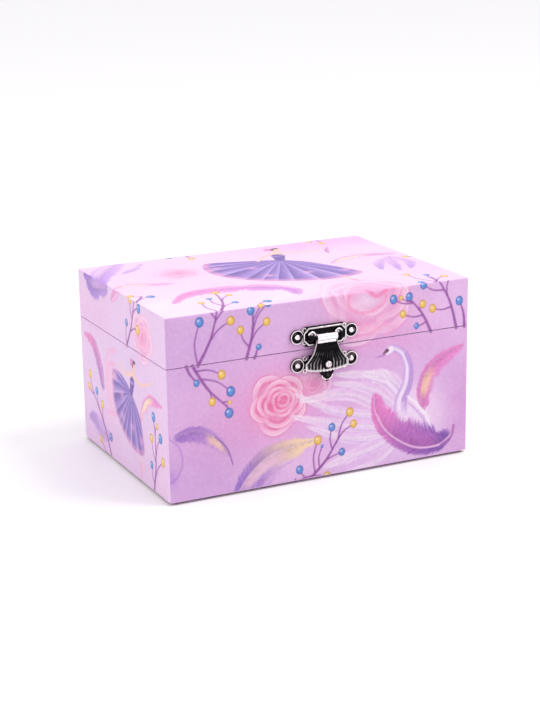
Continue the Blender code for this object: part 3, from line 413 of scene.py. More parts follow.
            self.wash(u, v, 2.6, 2.1, "#f0b3da", 0.7)


print("brushes ready")

# %% [markdown]
# ## The motifs
# A dancer in a violet bell skirt, and a swan with long plumes. Her face is too small in the print
# to have features.

# %% Motifs
def dancer(c, head, waist, hem, arms, size, leg):
    """A small painted dancer: each arm is (shoulder from the neck, elbow, hand), leg is three places."""
    head, waist = np.array(head, float), np.array(waist, float)
    neck = head + (waist - head) * 0.28
    chest = head + (waist - head) * 0.62
    c.line([waist, leg[0], leg[1]], 1.4 * size, SKIN, 0.8, 0.9 * size, 0.7)
    c.line([leg[1], leg[2]], 0.9 * size, ROSE, 0.9, 0.4 * size, 0.5)
    c.skirt(waist, hem)
    c.line([neck + (0.2, 0.6), chest], 1.9 * size, SKIN, 0.95, 2.0 * size, 0.7)
    for shoulder, elbow, hand in arms:
        c.line([neck + np.array(shoulder), elbow, hand], 1.05 * size, SKIN, 0.92, 0.5 * size, 0.6)
    c.line([chest, waist], 2.5 * size, SKIRT_DARK, 0.95, 1.7 * size, 0.6)
    bodice = [chest + (-2.2 * size, 0.4), chest + (2.2 * size, 0.4)]
    c.line(bodice, 0.6 * size, SKIRT, 0.9, 0.6 * size, 0.5)
    c.line([head, neck], 0.75 * size, SKIN, 0.95, 0.8 * size, 0.5)
    c.line([head + (0.5, 0.3), head + (0.5, 0.9)], 1.75 * size, SKIN, 0.95, 1.5 * size, 0.5)
    hair = head + np.array([(1.2, -1.5), (-0.6, -1.2), (-1.5, 0.6)]) * size
    c.line(hair, 0.85 * size, HAIR, 0.9, 0.7 * size, 0.5)
    flower = head + np.array((-2.4, -0.9)) * size
    for way in np.arange(5) * math.tau / 5:
        petal = flower + np.array((math.cos(way), math.sin(way))) * 1.1 * size
        c.line([flower, petal], 0.6 * size, MAGENTA, 0.7, 0.8 * size, 0.6)
    c.line([flower, flower + np.array((0.2, 0.1)) * size], 0.6 * size, ROSE, 0.9, 0.6 * size, 0.5)


def swan(c):
    """The swan on the front, with its wing's plumes swept to the left."""
    c.wash(119, 60, 17, 12, WHITE, 0.75)
    c.wash(121, 68, 14, 9, PALE, 0.7)
    plumes = (
        ((117, 62), (100, 58), (78, 52), (60, 42)), ((117, 64), (98, 63), (76, 58), (58, 52)),
        ((116, 60), (100, 52), (86, 46), (62, 46)), ((115, 57), (102, 47), (92, 43), (79, 40)),
        ((116, 55), (106, 43), (96, 39), (80, 36)), ((117, 53), (110, 43), (104, 40), (94, 38)),
        ((116, 66), (98, 68), (84, 66), (66, 58)), ((118, 55), (113, 46), (109, 42), (104, 37)),
        ((116, 68), (100, 73), (88, 76), (74, 79)), ((117, 70), (106, 78), (98, 82), (86, 83)),
    )
    tones = ("#f4e2f8", "#fdf6fd", "#efd2f3")
    for number, points in enumerate(plumes):
        c.feather(points, 3.0 + number % 3 * 0.5, tones, 0.62, number + 20, quill="#d9b4e8")
        for k, (colour, cover) in enumerate((("#b98ad6", 0.4), ("#ffffff", 0.5), ("#d9a0dc", 0.35))):
            bend = [(0, 1.5 - k), (0.5, 2.2 - 2.2 * k), (0, 1.4 - 1.6 * k), (1.5 + k, 2.4 - 2.2 * k)]
            c.line([np.array(p) + b for p, b in zip(points, bend)], 0.45, colour, cover, 0.15, 0.6, 0.7)
    neck = [(107.5, 29.2), (111, 28.3), (115.8, 31.6), (118.4, 38), (117.8, 46), (114.6, 53),
        (114.2, 60)]
    neck = np.array(neck)
    c.line(neck, 1.4, "#b48cd4", 0.85, 3.5, 0.9)
    c.line(neck + (-0.3, -0.15), 1.15, "#d6bbea", 0.95, 2.9, 0.9)
    c.line(neck[1:] + (-0.75, -0.3), 0.4, "#f8effb", 0.9, 1.2, 0.9)
    c.line(neck[2:6] + (1.0, 0.3), 0.6, "#a67fce", 0.5, 0.9, 1.3)
    c.wash(116, 62, 7, 5, "#f1e0f6", 0.8)
    for k in range(7):
        light = [(118 + k * 1.6, 52 + k * 1.4), (123 + k * 1.2, 56 + k * 1.8),
            (127 + k * 0.7, 62 + k * 1.6)]
        c.line(light, 0.5, "#fbf4fc", 0.75, 0.25, 0.7)
        c.line([(117 + k * 1.6, 54 + k * 1.4), (122 + k * 1.2, 58 + k * 1.8)], 0.35, "#c8a2dd", 0.5,
            0.2, 0.7)
    c.line([(109, 28.6), (107, 29.7)], 1.7, "#f6eaf9", 1.0, 1.3, 0.5)
    c.line([(107.2, 28.8), (105.6, 30)], 0.95, "#6d2f5d", 0.95, 0.5, 0.4)
    c.line([(106.2, 30.6), (101, 31.5)], 0.62, "#b583c4", 0.9, 0.18, 0.4)
    c.line([(107.3, 28.6), (107.9, 28.9)], 0.32, "#4d1f45", 1, 0.3, 0.3)


print("motifs ready")

# %% [markdown]
# ## The pictures on the five faces
# The front and left faces run from the lid's top edge down over the body, so one picture serves
# the two papers of each face. The right and back faces repeat the same motifs in other places.

# %% Pictures
def washes(c, rows):
    """Pools of colour: (u, v, wide, tall, colour, cover)."""
    for row in rows:
        c.wash(*row)


def sprigs(c, rows):
    """Sprigs: (base, top, twigs)."""
    for row in rows:
        c.sprig(*row)


def front_picture(c):
    washes(c, (
        (8, 12, 34, 18, "#cfa7dc", 0.55),
        (20, 72, 30, 14, "#caa0d8", 0.6),
        (28, 52, 22, 16, "#d99fd0", 0.5),
        (60, 45, 34, 22, PINK, 0.45),
        (112, 24, 26, 9, "#de9fd6", 0.65),
        (146, 62, 12, 22, "#cf8fd0", 0.55),
        (96, 74, 30, 12, "#e3c6ee", 0.7),
        (60, 76, 26, 9, "#ecc8ea", 0.6),
        (140, 12, 22, 14, "#ecc6ee", 0.6),
    ))
    c.rose(97, 1.5, 25, cover=0.62, **LID_ROSE)
    c.wash(97, 3, 9, 7, "#efdcf1", 0.85)
    c.line([(88, -1), (88.5, 7), (97, 10), (106, 6), (106, -1)], 0.7, "#f58fbb", 0.6, 0.7, 1.2)
    c.line([(97, -1), (102, 3), (109, -1)], 1.1, "#f37cb0", 0.7, 0.8, 1.2)
    for k in range(4):
        c.line([(80 + k * 9, 20 + k % 2), (88 + k * 9, 14 + k), (97 + k * 7, 19)], 1.2, ROSE, 0.45, 0.7,
            2.2)
    c.wash(52, 45, 17, 15, "#ee94c2", 0.6)
    c.rose(70, 40, 9, cover=0.5, turn=1.2, rings=4)
    c.rose(52, 45.5, 15, cover=0.92, **FRONT_ROSE)
    swan(c)
    c.feather([(31, 86), (38, 76), (50, 68), (71, 65)], 7.5, ("#8f63c6", "#fbe3a8", "#f5d0dd"), 0.85, 5,
        0.25, "#caa0cf")
    c.feather([(40, 87), (47, 79), (54, 75), (60, 73)], 3.8, ("#9a6ccb", "#e5c3ea", "#d9b1e6"), 0.6, 7)
    c.feather([(2, 53.5), (12, 51.5), (22, 56), (29, 66)], 4.6, ("#9c69c5", "#c79ad6", "#ffd8b4"), 0.88,
        8, 0.4, "#8d55a8", (0.45, 1.0))
    c.line([(22, 56), (27.5, 62), (30, 69.8)], 0.35, "#8d55a8", 0.9, 0.3, 0.4)
    c.line([(0, 53), (5, 58), (6.3, 65), (4, 71), (0, 74)], 0.35, VIOLET, 0.45, 0.5, 0.8)
    c.wash(1, 72, 3, 4, VIOLET, 0.4)
    c.feather([(127.2, 60), (124.6, 52), (127, 43), (134.5, 35.8), (148, 31)], 5.2,
        ("#d977bd", "#ea84cb", "#ffd2a8"), 0.9, 9, 0.5, "#c24f9c", (0.08, 0.62))
    c.feather([(142.4, 73), (134, 78), (121, 76.5), (108, 68), (101.5, 58), (100.5, 47)], 9.2,
        ("#8048ab", "#e67cc6", "#b65fba"), 0.96, 11, 0.5, "#f3c1e6", (0.05, 0.7))
    c.line([(142.7, 70), (141, 75), (134, 78.2), (121, 76.8), (108, 68), (102, 58)], 0.55, "#f3c4ec",
        0.85, 0.25, 0.6)
    c.line([(142.8, 69.8), (141.3, 75.2), (136, 78)], 0.7, "#9a4f9f", 0.7, 0.4, 0.6)
    sprigs(c, (
        ((14.8, 23), (24.5, -1), ((0.02, 16, 3.8, 2.3, "b"), (0.42, 30.5, 5, 2.2, "y"),
            (0.8, 21, -3, 1, "y"), (0.75, 31, -1.5, 1, "b"))),
        ((37.6, 23), (41, -1), ((0.25, 35, 9.8, 2.0, "y"), (0.3, 47.5, 7.6, 2.0, "y"),
            (0.5, 48.5, -1, 2.2, "b"), (0.97, 40.1, 1.8, 2.1, "b"), (0.45, 44.8, 0.2, 1.1, "y"))),
        ((41.5, 23), (42.4, 20.5), ((0.9, 43.6, 18.4, 1.5, "b"),)),
        ((130, 23), (118.5, 6), ((0.3, 122.4, 19.4, 1.5, "b"), (0.45, 115.4, 13, 1.9, "y"),
            (0.62, 125.6, 9.6, 2.0, "y"), (0.99, 118.6, 5.4, 2.1, "b"), (0.8, 110.5, 5.6, 2.2, "b"),
            (0.85, 114.4, 5.4, 1.1, "y"))),
        ((143.5, 23), (133, -2), ((0.4, 130.8, 12.3, 2.1, "y"), (0.7, 126, 0.9, 2.0, "b"),
            (0.6, 140, -2, 1, "y"))),
        ((147.8, 23), (145.2, 10.8), ((0.97, 144.9, 10.4, 2.2, "b"),)),
        ((12.2, 22.5), (28, 43), ((0.18, 25.7, 28.3, 2.2, "y"), (0.32, 29.8, 36.4, 2.4, "b"),
            (0.35, 21, 39.8, 2.0, "y"), (0.85, 29.3, 41.3, 1.1, "y"), (0.98, 28.8, 46, 2.4, "b"))),
        ((9.4, 22.5), (12.6, 28.5), ((0.95, 13.9, 30.4, 1.7, "b"),)),
        ((66, 84.5), (83, 65), ((0.1, 62.6, 77.9, 2.1, "b"), (0.25, 71.9, 65.5, 2.2, "y"),
            (0.35, 74, 68.7, 0.9, "b"), (0.32, 84, 73, 1.9, "b"), (0.7, 79, 60.5, 2.0, "b"),
            (0.9, 88.1, 54.8, 2.2, "y"), (0.8, 90, 60.6, 2.0, "y"))),
        ((59, 85), (60.5, 82), ((0.5, 76.3, 83.2, 2.2, "y"),)),
    ))


def left_picture(c):
    washes(c, (
        (15, 16, 30, 12, "#e6b4dc", 0.4),
        (20, 74, 24, 14, "#dfb5e2", 0.5),
        (60, 30, 30, 10, "#d9bfe9", 0.5),
        (95, 70, 20, 24, "#e9c6e4", 0.4),
    ))
    c.feather([(40, 0.5), (30, 3), (18, 4), (6, -4)], 6.5, ("#b088d6", "#8f62c6", "#c79fe2"), 0.9, 3)
    c.feather([(43, 6), (50, 1), (58, -4)], 3.2, ("#ea8ad0", ROSE, "#f6b9de"), 0.8, 4)
    c.rose(80, 15, 12, cover=0.55, turn=0.2, rings=4)
    c.feather([(29, 53), (26, 42), (18, 32), (5, 30)], 4.6, ("#a873c2", "#e87fc0", "#e08fc8"), 0.92, 5,
        -0.2)
    rows = (
        ((46, 29), (38, 31), (33, 38)),
        ((44, 36), (36, 38), (33, 46)),
        ((42, 60), (36, 61), (31, 62)),
        ((36, 40), (34, 50), (38, 58)),
    )
    for points in rows:
        c.line(points, 1.3, ROSE, 0.55, 0.7, 1.6)
    c.wash(37, 48, 6, 14, "#f4b9d9", 0.45)
    c.feather([(74, 55), (78, 46), (87, 40), (101, 40.5)], 3.6, ("#f09ad0", "#ec82c8", "#fff0b8"), 0.85,
        6, 0.5)
    hem = [(60, 40.8), (50, 37.6), (42, 38.5), (40.5, 46), (42, 56), (49, 63.5), (59, 69), (70, 71.2),
        (78, 68.8), (76.5, 58), (72, 50)]
    arms = (((1, 0.6), (77, 37.2), (88.5, 33.2)), ((-1.5, 0.6), (58, 36.5), (50, 33)))
    dancer(c, (68.6, 30.2), (64.5, 43.6), hem, arms, 1.0, ((71, 70), (73, 76), (73.2, 82)))
    c.feather([(36, 73), (24, 73), (15, 70), (7, 71)], 5.5, ("#c8a0e0", "#a87cd6", "#cdb0ea"), 0.75, 7)
    sprigs(c, (
        ((61, 23), (72, -1), ((0.05, 62, 12, 1.8, "b"), (0.35, 75, 12.4, 2.3, "y"),
            (0.6, 67, 0.8, 1.9, "y"), (0.7, 77, 2.4, 2.3, "b"))),
        ((37, 85), (15, 57), ((0.05, 22.5, 78, 2.0, "y"), (0.3, 36, 73.2, 2.2, "b"),
            (0.5, 26, 60.2, 2.2, "y"), (0.65, 19.3, 55.2, 2.0, "b"), (0.85, 11, 49, 2.2, "y"),
            (0.97, 9.2, 55.4, 2.0, "y"))),
        ((87.5, 85), (91, 52), ((0.2, 86.2, 71.2, 1.9, "b"), (0.25, 99.3, 66, 2.3, "y"),
            (0.5, 87, 58.5, 2.1, "y"), (0.55, 97.3, 55.8, 2.3, "b"), (0.85, 94, 51.2, 1.5, "y"),
            (0.98, 90, 48, 2.3, "b"))),
    ))


def top_picture(c):
    washes(c, (
        (20, 20, 34, 22, "#ead0f0", 0.6),
        (8, 92, 26, 24, "#f8e9fa", 0.7),
        (128, 8, 40, 13, "#eba6dc", 0.65),
        (140, 70, 18, 30, "#edc2e6", 0.5),
        (75, 95, 40, 16, "#f6e6f8", 0.6),
    ))
    c.feather([(22, -2), (10, 12), (2, 24), (-3, 40)], 7.5, ("#d6b2ee", "#b183e0", "#e3c6f2"), 0.85, 2)
    c.feather([(30, 6), (24, 14), (14, 22)], 3, ("#d9b9f0", "#b690e2", "#dcc0ee"), 0.6, 3)
    c.rose(37, 34, 12, cover=0.5, turn=0.8, rings=4)
    c.feather([(0, 47), (8, 43.5), (18, 47), (29, 51)], 3.4, ("#f1a9d9", "#ee98d2", "#fbf3bf"), 0.75, 4,
        0.4)
    hem = [(84, 29), (70, 24.5), (56, 22), (50.5, 32), (50.5, 45), (56, 57), (65, 66.5), (78, 74),
        (95, 79), (112.5, 74.5), (110, 62), (104, 48), (99, 39)]
    arms = (((1, 0.8), (109, 22.5), (120.5, 20.5)), ((-1.5, 0.8), (86, 23), (80, 30)))
    dancer(c, (98.4, 10.5), (91, 31.5), hem, arms, 1.35, ((101, 78), (102.5, 84), (104, 90)))
    c.feather([(67, 98), (71, 88), (62, 77), (45, 71), (26, 72), (12, 86)], 7.0,
        ("#c987dc", "#f48fd2", "#f3aee2"), 0.92, 6, -0.3)
    c.feather([(108, 51), (117, 44), (130, 41.5), (146, 47)], 3.6, ("#f3a8d6", "#ec8fcd", "#fdf4cc"),
        0.85, 7, 0.45)
    rows = (
        ((138, 52), (128, 62), (123, 74)),
        ((140, 50), (134, 66), (130, 79)),
        ((141, 52), (142, 66), (136, 78)),
    )
    for number, points in enumerate(rows):
        c.feather(points, 3.4, ("#dcb4ec", "#b18ae0", "#d2aeea"), 0.75, 30 + number)
    c.rose(97, 107.5, 25, cover=0.55, **LID_ROSE)
    c.feather([(118, 30), (120, 24), (124, 17)], 1.4, ("#c56ab2", "#e287c6", "#d77fc0"), 0.8, 12)
    sprigs(c, (
        ((24, 110), (36, 80), ((0.1, 24, 90, 1.8, "y"), (0.25, 37.5, 96, 1.8, "b"),
            (0.4, 30, 85, 1.6, "b"), (0.6, 40.5, 83, 1.8, "y"), (0.98, 37, 76, 2.3, "y"))),
        ((40, 110), (45, 104), ((0.9, 50.5, 101, 2.2, "b"), (0.5, 45.5, 105, 1.8, "y"))),
        ((-2, 76), (6, 66), ((0.5, 9.3, 68.6, 2.2, "b"), (0.9, 1.5, 63.5, 2.0, "y"))),
        ((131, 110), (135, 97), ((0.3, 127.5, 88, 2.0, "y"), (0.6, 135.3, 93, 1.7, "b"),
            (0.4, 141, 99, 2.0, "y"), (0.2, 126, 104, 1.8, "b"))),
        ((56, -2), (55, 4), ((0.9, 55, 8, 2.2, "y"), (0.2, 46, 1, 2.0, "b"))),
        ((126, -2), (126, 3), ((0.9, 125, 9, 2.0, "y"), (0.3, 121, 3, 1.6, "y"))),
        ((152, 60), (147.5, 56), ((0.9, 146, 55.5, 1.9, "y"),)),
    ))


def right_picture(c):
    washes(c, (
        (20, 30, 26, 26, "#cf9fdc", 0.5),
        (70, 62, 34, 16, PINK, 0.45),
        (88, 12, 24, 14, "#e9c6ee", 0.6),
    ))
    c.rose(72, 50, 15, cover=0.95, **FRONT_ROSE)
    c.feather([(96, 82), (84, 70), (80, 52), (92, 34)], 5.4, ("#8f5fc0", "#e58aca", "#ffd7a8"), 0.88, 2,
        0.3)
    c.feather([(4, 66), (18, 74), (36, 72), (52, 60)], 6.4, ("#7f4fac", "#e27cc2", "#c882cf"), 0.92, 3,
        0.35, "#f3c1e6")
    c.feather([(6, 34), (18, 29), (32, 34), (42, 46)], 4.6, ("#d98bd0", "#a574cf", "#ffd9b0"), 0.8, 4)
    c.feather([(60, -3), (70, 6), (84, 9), (98, 3)], 4.4, ("#ee8fca", "#b088d6", "#f6c6e4"), 0.8, 5)
    sprigs(c, (
        ((20, 23), (12, -2), ((0.1, 26, 14, 2.0, "y"), (0.4, 8, 10, 2.2, "b"), (0.6, 19, 3, 2.0, "y"),
            (0.8, 6, 2, 1.6, "b"))),
        ((44, 23), (52, 0), ((0.15, 40, 12, 2.0, "b"), (0.4, 58, 9, 2.2, "y"), (0.7, 46, 2, 2.0, "y"),
            (0.98, 52.5, 0, 2.1, "b"))),
        ((30, 85), (22, 52), ((0.1, 38, 76, 2.0, "y"), (0.35, 14, 62, 2.2, "b"),
            (0.55, 33, 56, 2.1, "b"), (0.8, 14, 50, 2.0, "y"), (0.98, 22, 48, 2.2, "y"))),
        ((100, 23), (92, 46), ((0.3, 101, 36, 2.1, "y"), (0.6, 87, 38, 2.2, "b"),
            (0.97, 92, 49, 2.0, "y"))),
    ))


def back_picture(c):
    washes(c, (
        (20, 20, 34, 20, "#d6ace0", 0.5),
        (75, 60, 44, 20, PINK, 0.4),
        (130, 30, 26, 30, "#d3a3dc", 0.5),
    ))
    c.rose(112, 52, 14.5, cover=0.95, **FRONT_ROSE)
    c.rose(28, 10, 11, cover=0.6, turn=1.0, rings=4)
    rows = (
        ((92, 66), (74, 62), (56, 56), (40, 44)),
        ((92, 68), (74, 69), (56, 66), (38, 58)),
        ((92, 64), (78, 54), (64, 46), (50, 36)),
    )
    for points in rows:
        c.feather(points, 4.2, ("#f7e9fa", "#fdf6fd", "#f3dcf5"), 0.7, 40, quill="#e6cbee")
    c.feather([(140, 78), (126, 80), (110, 76), (96, 62)], 6.0, ("#7d4ba5", "#e06cbe", "#c773c9"), 0.92,
        11, 0.4, "#f3c1e6")
    c.feather([(8, 76), (16, 66), (30, 60), (48, 62)], 6.4, ("#8f63c6", "#fbe3a8", "#f5d0dd"), 0.85, 5,
        0.25)
    c.feather([(60, 30), (74, 26), (90, 30), (100, 40)], 4.6, ("#9c69c5", "#e58aca", "#ffd3a4"), 0.85,
        8, 0.3)
    hem = [(28, 40), (20, 37.6), (13, 39), (12, 46), (14, 54), (21, 59), (30, 62), (42, 62), (47, 59),
        (45, 52), (39, 47)]
    arms = (((1, 0.6), (43, 36.2), (52, 33.2)), ((-1.5, 0.6), (26, 35.5), (20, 31)))
    dancer(c, (34.6, 30.2), (32, 42.6), hem, arms, 0.85, ((37, 61), (38, 66), (38.2, 71)))
    sprigs(c, (
        ((62, 23), (72, -2), ((0.1, 60, 10, 2.1, "b"), (0.4, 78, 8, 2.2, "y"), (0.7, 66, 2, 2.0, "y"))),
        ((120, 23), (112, 0), ((0.1, 126, 12, 2.0, "y"), (0.35, 106, 10, 2.2, "b"),
            (0.6, 120, 3, 2.0, "b"), (0.98, 112, -1, 1.8, "y"))),
        ((140, 23), (134, 46), ((0.3, 145, 34, 2.2, "b"), (0.6, 129, 38, 2.1, "y"),
            (0.97, 133, 50, 2.2, "b"))),
        ((72, 85), (84, 58), ((0.1, 66, 76, 2.1, "b"), (0.3, 90, 74, 2.0, "y"), (0.6, 76, 60, 2.2, "y"),
            (0.98, 85, 55, 2.2, "b"))),
    ))


print("five pictures ready")

# %% [markdown]
# ## The printed paper
# Each paper starts as a flat grid that is stood against its side of the board and rolled a little
# over the rounded corners, so neighbouring papers meet on the corner line. Each face's print is
# darkened by a painted shade of its own.

# %% Printed paper material
def paper_grain(recipe):
    """The faint tooth of the paper and the softness of the lamination."""
    fibre = recipe.noise(900, 4)
    cloud = recipe.noise(60, 2)
    return fibre, cloud


printed = Recipe("printed_paper")
fibre, cloud = paper_grain(printed)
# The colour attribute holds the print, darkened on each face by a painted shade.
ink_and_shade = printed.node("ShaderNodeAttribute", {"attribute_name": "ink_and_shade"}, out="Color")
ink_and_shade = printed.mix(fibre.ramp(0.3, 0.75) * 0.05, ink_and_shade, "#ffffff")
ink_and_shade = printed.mix(cloud.ramp(0.35, 0.7) * 0.05, ink_and_shade, "#c79ad8", "MULTIPLY")
PRINTED = printed.finish(ink_and_shade, 0.42 + fibre * 0.12, fibre * 0.6 + cloud * 0.4, 0.00008, 0.25,
    Specular_IOR_Level=0.35, Coat_Weight=0.12, Coat_Roughness=0.35)

plain = Recipe("plain_wrap_paper")
fibre, cloud = paper_grain(plain)
washed = plain.mix(cloud.ramp(0.35, 0.7), "#e2bfe8", "#e9c4e6")
washed = plain.mix(fibre.ramp(0.3, 0.75) * 0.15, washed, "#f4e2f6")
PLAIN = plain.finish(washed, 0.45 + fibre * 0.12, fibre, 0.00008, 0.3, Specular_IOR_Level=0.35)

# %% Papers
HALF_X, HALF_Y, TOP = 0.075, 0.053, 0.084
ROUND, PROUD = 0.0012, 0.00004
BODY_TOP, BODY_LOW, LID_LOW = 0.06105, 0.0015, 0.06155


def wrap_over(points, over_top):
    """Sharp box places rolled over the wrap's rounded corners."""
    inner = np.array([HALF_X - ROUND, HALF_Y - ROUND, TOP - ROUND])
    core = points.copy()
    core[:, :2] = np.clip(points[:, :2], -inner[:2], inner[:2])
    if over_top:
        core[:, 2] = np.minimum(points[:, 2], inner[2])
    away = points - core
    far = np.maximum(np.linalg.norm(away, axis=1, keepdims=True), 1e-9)
    return core + away / far * (ROUND + PROUD)


def paper(name, body, across, down, origin, ways, v_start, look, over_top):
    """One printed paper, across x down mm, whose upper left corner is origin. ways are its
    directions across and down, and its picture starts at v_start."""
    picture, ground, pitch, tone = look
    bpy.ops.object.select_all(action="DESELECT")
    bpy.ops.mesh.primitive_grid_add(x_subdivisions=round(across / pitch),
        y_subdivisions=round(down / pitch), size=1)
    sheet = bpy.context.object
    sheet.name = sheet.data.name = name
    place = np.zeros(len(sheet.data.vertices) * 3)
    sheet.data.vertices.foreach_get("co", place)
    place = place.reshape(-1, 3)
    u, v = (place[:, 0] + 0.5) * across, (0.5 - place[:, 1]) * down
    sharp = np.array(origin) + np.column_stack([u, v]) @ np.array(ways, float) * MM
    sheet.data.vertices.foreach_set("co", wrap_over(sharp, over_top).ravel())
    canvas = Canvas(u, v + v_start, ground)
    picture(canvas)
    canvas.rgb *= (0.985 + 0.03 * ripple(u / 1.1, v / 1.1, 5))[:, None]
    # tone is a painted shade, one for each face: the front darkest and the top lightest.
    light = linear(np.clip(canvas.rgb, 0, 1)) * tone
    colours = sheet.data.color_attributes.new("ink_and_shade", "FLOAT_COLOR", "POINT")
    light = np.column_stack([light, np.ones(len(light))])
    colours.data.foreach_set("color", light.astype(np.float32).ravel())
    sheet.data.materials.append(PRINTED)
    bpy.ops.object.shade_smooth()
    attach(sheet, body)
    print(name, len(sheet.data.polygons), "faces")


W, D = HALF_X * 2 / MM, HALF_Y * 2 / MM
DOWN = (0, 0, -1)
# The tone in each row is that face's painted shade.
FACES = (  # side, corner, way across, millimetres across, then picture, ground, pitch and tone
    ("front", (-HALF_X, -HALF_Y), (1, 0, 0), W, (front_picture, "#deb7e3", 0.4, (0.78, 0.72, 0.765))),
    ("left", (-HALF_X, HALF_Y), (0, -1, 0), D, (left_picture, "#e3c6e8", 0.42, (0.885, 0.855, 0.86))),
    ("right", (HALF_X, -HALF_Y), (0, 1, 0), D, (right_picture, "#deb7e3", 0.5, (0.84, 0.79, 0.82))),
    ("back", (HALF_X, HALF_Y), (-1, 0, 0), W, (back_picture, "#e0bde6", 0.5, (0.85, 0.8, 0.83))),
)
for side, (x, y), way, across, look in FACES:
    for part, body, high, low in (("lid", "lid", TOP, LID_LOW), ("body", "box", BODY_TOP, BODY_LOW)):
        corner, down, start = (x, y, high), (high - low) / MM, (TOP - high) / MM
        paper(f"paper_{side}_{part}", body, across, down, corner, (way, DOWN), start, look,
            part == "lid")
# The top's tone is the lightest painted shade.
look = (top_picture, "#efd3f0", 0.44, (0.94, 0.86, 0.92))
paper("paper_top", "lid", W, D, (-HALF_X, HALF_Y, TOP), ((1, 0, 0), (0, -1, 0)), 0, look, True)

# %% [markdown]
# ## Metals
# The clasp is blackened cast metal whose ridges have been rubbed bright. Its pieces carry an
# attribute, relief, from 0 in the hollows to 1 on the ridges, and the finish follows it. On the
# flap, relief is also 0 in a ring round the catch ball, which is a painted shade there.

# %% Metals
def metal(name, tone, roughness, grain=350, tarnish="#7b7168", amount=0.25, brushed=None):
    """Plain metal with fine scratches and patches of tarnish."""
    recipe = Recipe(name)
    place = recipe.place * brushed if brushed else recipe.place
    scratch = recipe.noise(grain, 4, place)
    patch = recipe.noise(120, 3)
    tone = recipe.mix(patch.ramp(0.5, 0.72) * amount, tone, tarnish)
    return recipe.finish(tone, roughness + scratch * 0.16 + patch * 0.08, scratch, 0.00005, 0.25,
        Metallic=1.0)


antique = Recipe("antique_silver")
relief = antique.node("ShaderNodeAttribute", {"attribute_name": "relief"}, out="Fac")
# Dark where relief is low: patina in the hollows, and painted shade round the catch ball.
wear_and_shade = (relief + antique.noise(500, 3) * 0.35 - 0.17).ramp(0.35, 0.8)
silver = antique.mix(wear_and_shade, "#1b181c", "#f6eef0")
ANTIQUE = antique.finish(silver, 0.5 - wear_and_shade * 0.28, antique.noise(700, 3), 0.00008, 0.3, Metallic=1.0)

dark = Recipe("dark_silver")
patch = dark.noise(260, 4)
silver = dark.mix(patch.ramp(0.52, 0.75), "#17141a", "#76696f")
DARK = dark.finish(silver, 0.42 + patch * 0.15, dark.noise(700, 3), 0.00008, 0.35, Metallic=1.0)

BRIGHT = metal("bright_silver", "#f4ecee", 0.14, amount=0.12, tarnish="#8d8088")
BRASS = metal("aged_brass", "#d9b45e", 0.24, tarnish="#8a6a34")
STEEL = metal("bright_steel", "#cfd0d4", 0.2, amount=0.12)
COMB_STEEL = metal("ground_comb_steel", "#bcbec6", 0.22, grain=260, brushed=(30, 1, 1), amount=0.1)
ZINC = metal("cast_zinc_bedplate", "#a9a6a2", 0.42, grain=160, amount=0.3)
FAN = metal("thin_fan_brass", "#e0c37a", 0.3)
NAIL = metal("nail_silver", "#efe8ea", 0.16, amount=0.2, tarnish="#6f6670")

# %% [markdown]
# ## Board, felt, velvet and plastics
# Velvet is short pile, so it is a soft noise with a sheen that brightens at its edges. The body's
# fibreboard only shows where the lining stops, and the felt is under the foot.

# %% Soft and plain finishes
board = Recipe("fibreboard")
speck = board.noise(700, 5, rough=0.7)
tone = board.mix(speck.ramp(0.35, 0.7), "#b58f66", "#8a683f")
BOARD = board.finish(tone, 0.85, speck, 0.0002, 0.5)

felt = Recipe("base_felt")
hair = felt.noise(1100, 6, rough=0.75)
tuft = felt.noise(150, 3)
tone = felt.mix(hair.ramp(0.3, 0.7), "#7c5793", "#a583b8")
tone = felt.mix(tuft.ramp(0.4, 0.75) * 0.4, tone, "#8b68a0")
FELT = felt.finish(tone, 0.95, hair + tuft * 0.5, 0.0004, 0.8, Sheen_Weight=0.5, Sheen_Roughness=0.6)


def velvet(name, low, high, worn):
    recipe = Recipe(name)
    pile = recipe.noise(1500, 4, rough=0.7)
    brushed = recipe.noise(70, 3, recipe.place * (1, 0.4, 1))
    tone = recipe.mix(pile.ramp(0.3, 0.72), low, high)
    tone = recipe.mix(brushed.ramp(0.45, 0.7) * 0.4, tone, worn)
    return recipe.finish(tone, 0.9, pile + brushed * 0.4, 0.0003, 0.7, Sheen_Weight=0.8,
        Sheen_Roughness=0.4, Sheen_Tint=(1, 0.85, 0.95, 1))


VELVET = velvet("pink_velvet", "#d97fb4", "#efa4cd", "#f7c1de")
CUSHION = velvet("lilac_velvet", "#b58acb", "#d3b0e2", "#e4cdee")

glass = Recipe("mirror_glass")
smear = glass.noise(30, 3)
MIRROR = glass.finish("#eef1f4", 0.02 + smear.ramp(0.45, 0.8) * 0.05, smear, 0.00002, 0.1, Metallic=1.0)

plastic = Recipe("turntable_plastic")
flow = plastic.noise(90, 2)
TURNTABLE = plastic.finish(plastic.mix(flow, "#f4eef4", "#e9dcea"), 0.3 + flow * 0.1,
    plastic.noise(900, 2), 0.00003, 0.2, Coat_Weight=0.3)

doll = Recipe("painted_doll_plastic")
skin = doll.node("ShaderNodeAttribute", {"attribute_name": "dress"}, out="Color")
mould = doll.noise(400, 3)
skin = doll.mix(mould.ramp(0.3, 0.8) * 0.08, skin, "#ffffff")
DOLL = doll.finish(skin, 0.34 + mould * 0.1, mould, 0.00004, 0.2, Coat_Weight=0.35, Coat_Roughness=0.2)

net = Recipe("tulle")
mesh_way = net.node("ShaderNodeTexVoronoi", {"feature": "DISTANCE_TO_EDGE"},
    {"Vector": net.place, "Scale": 1500.0})
thread = 1 - mesh_way.ramp(0.02, 0.12)
tone = net.mix(net.noise(300, 2), "#fbd7ea", "#fff4fa")
TULLE = net.finish(tone, 0.55 + thread * 0.2, thread, 0.0001, 0.3, Alpha=thread * 0.45 + 0.5,
    Sheen_Weight=0.4)

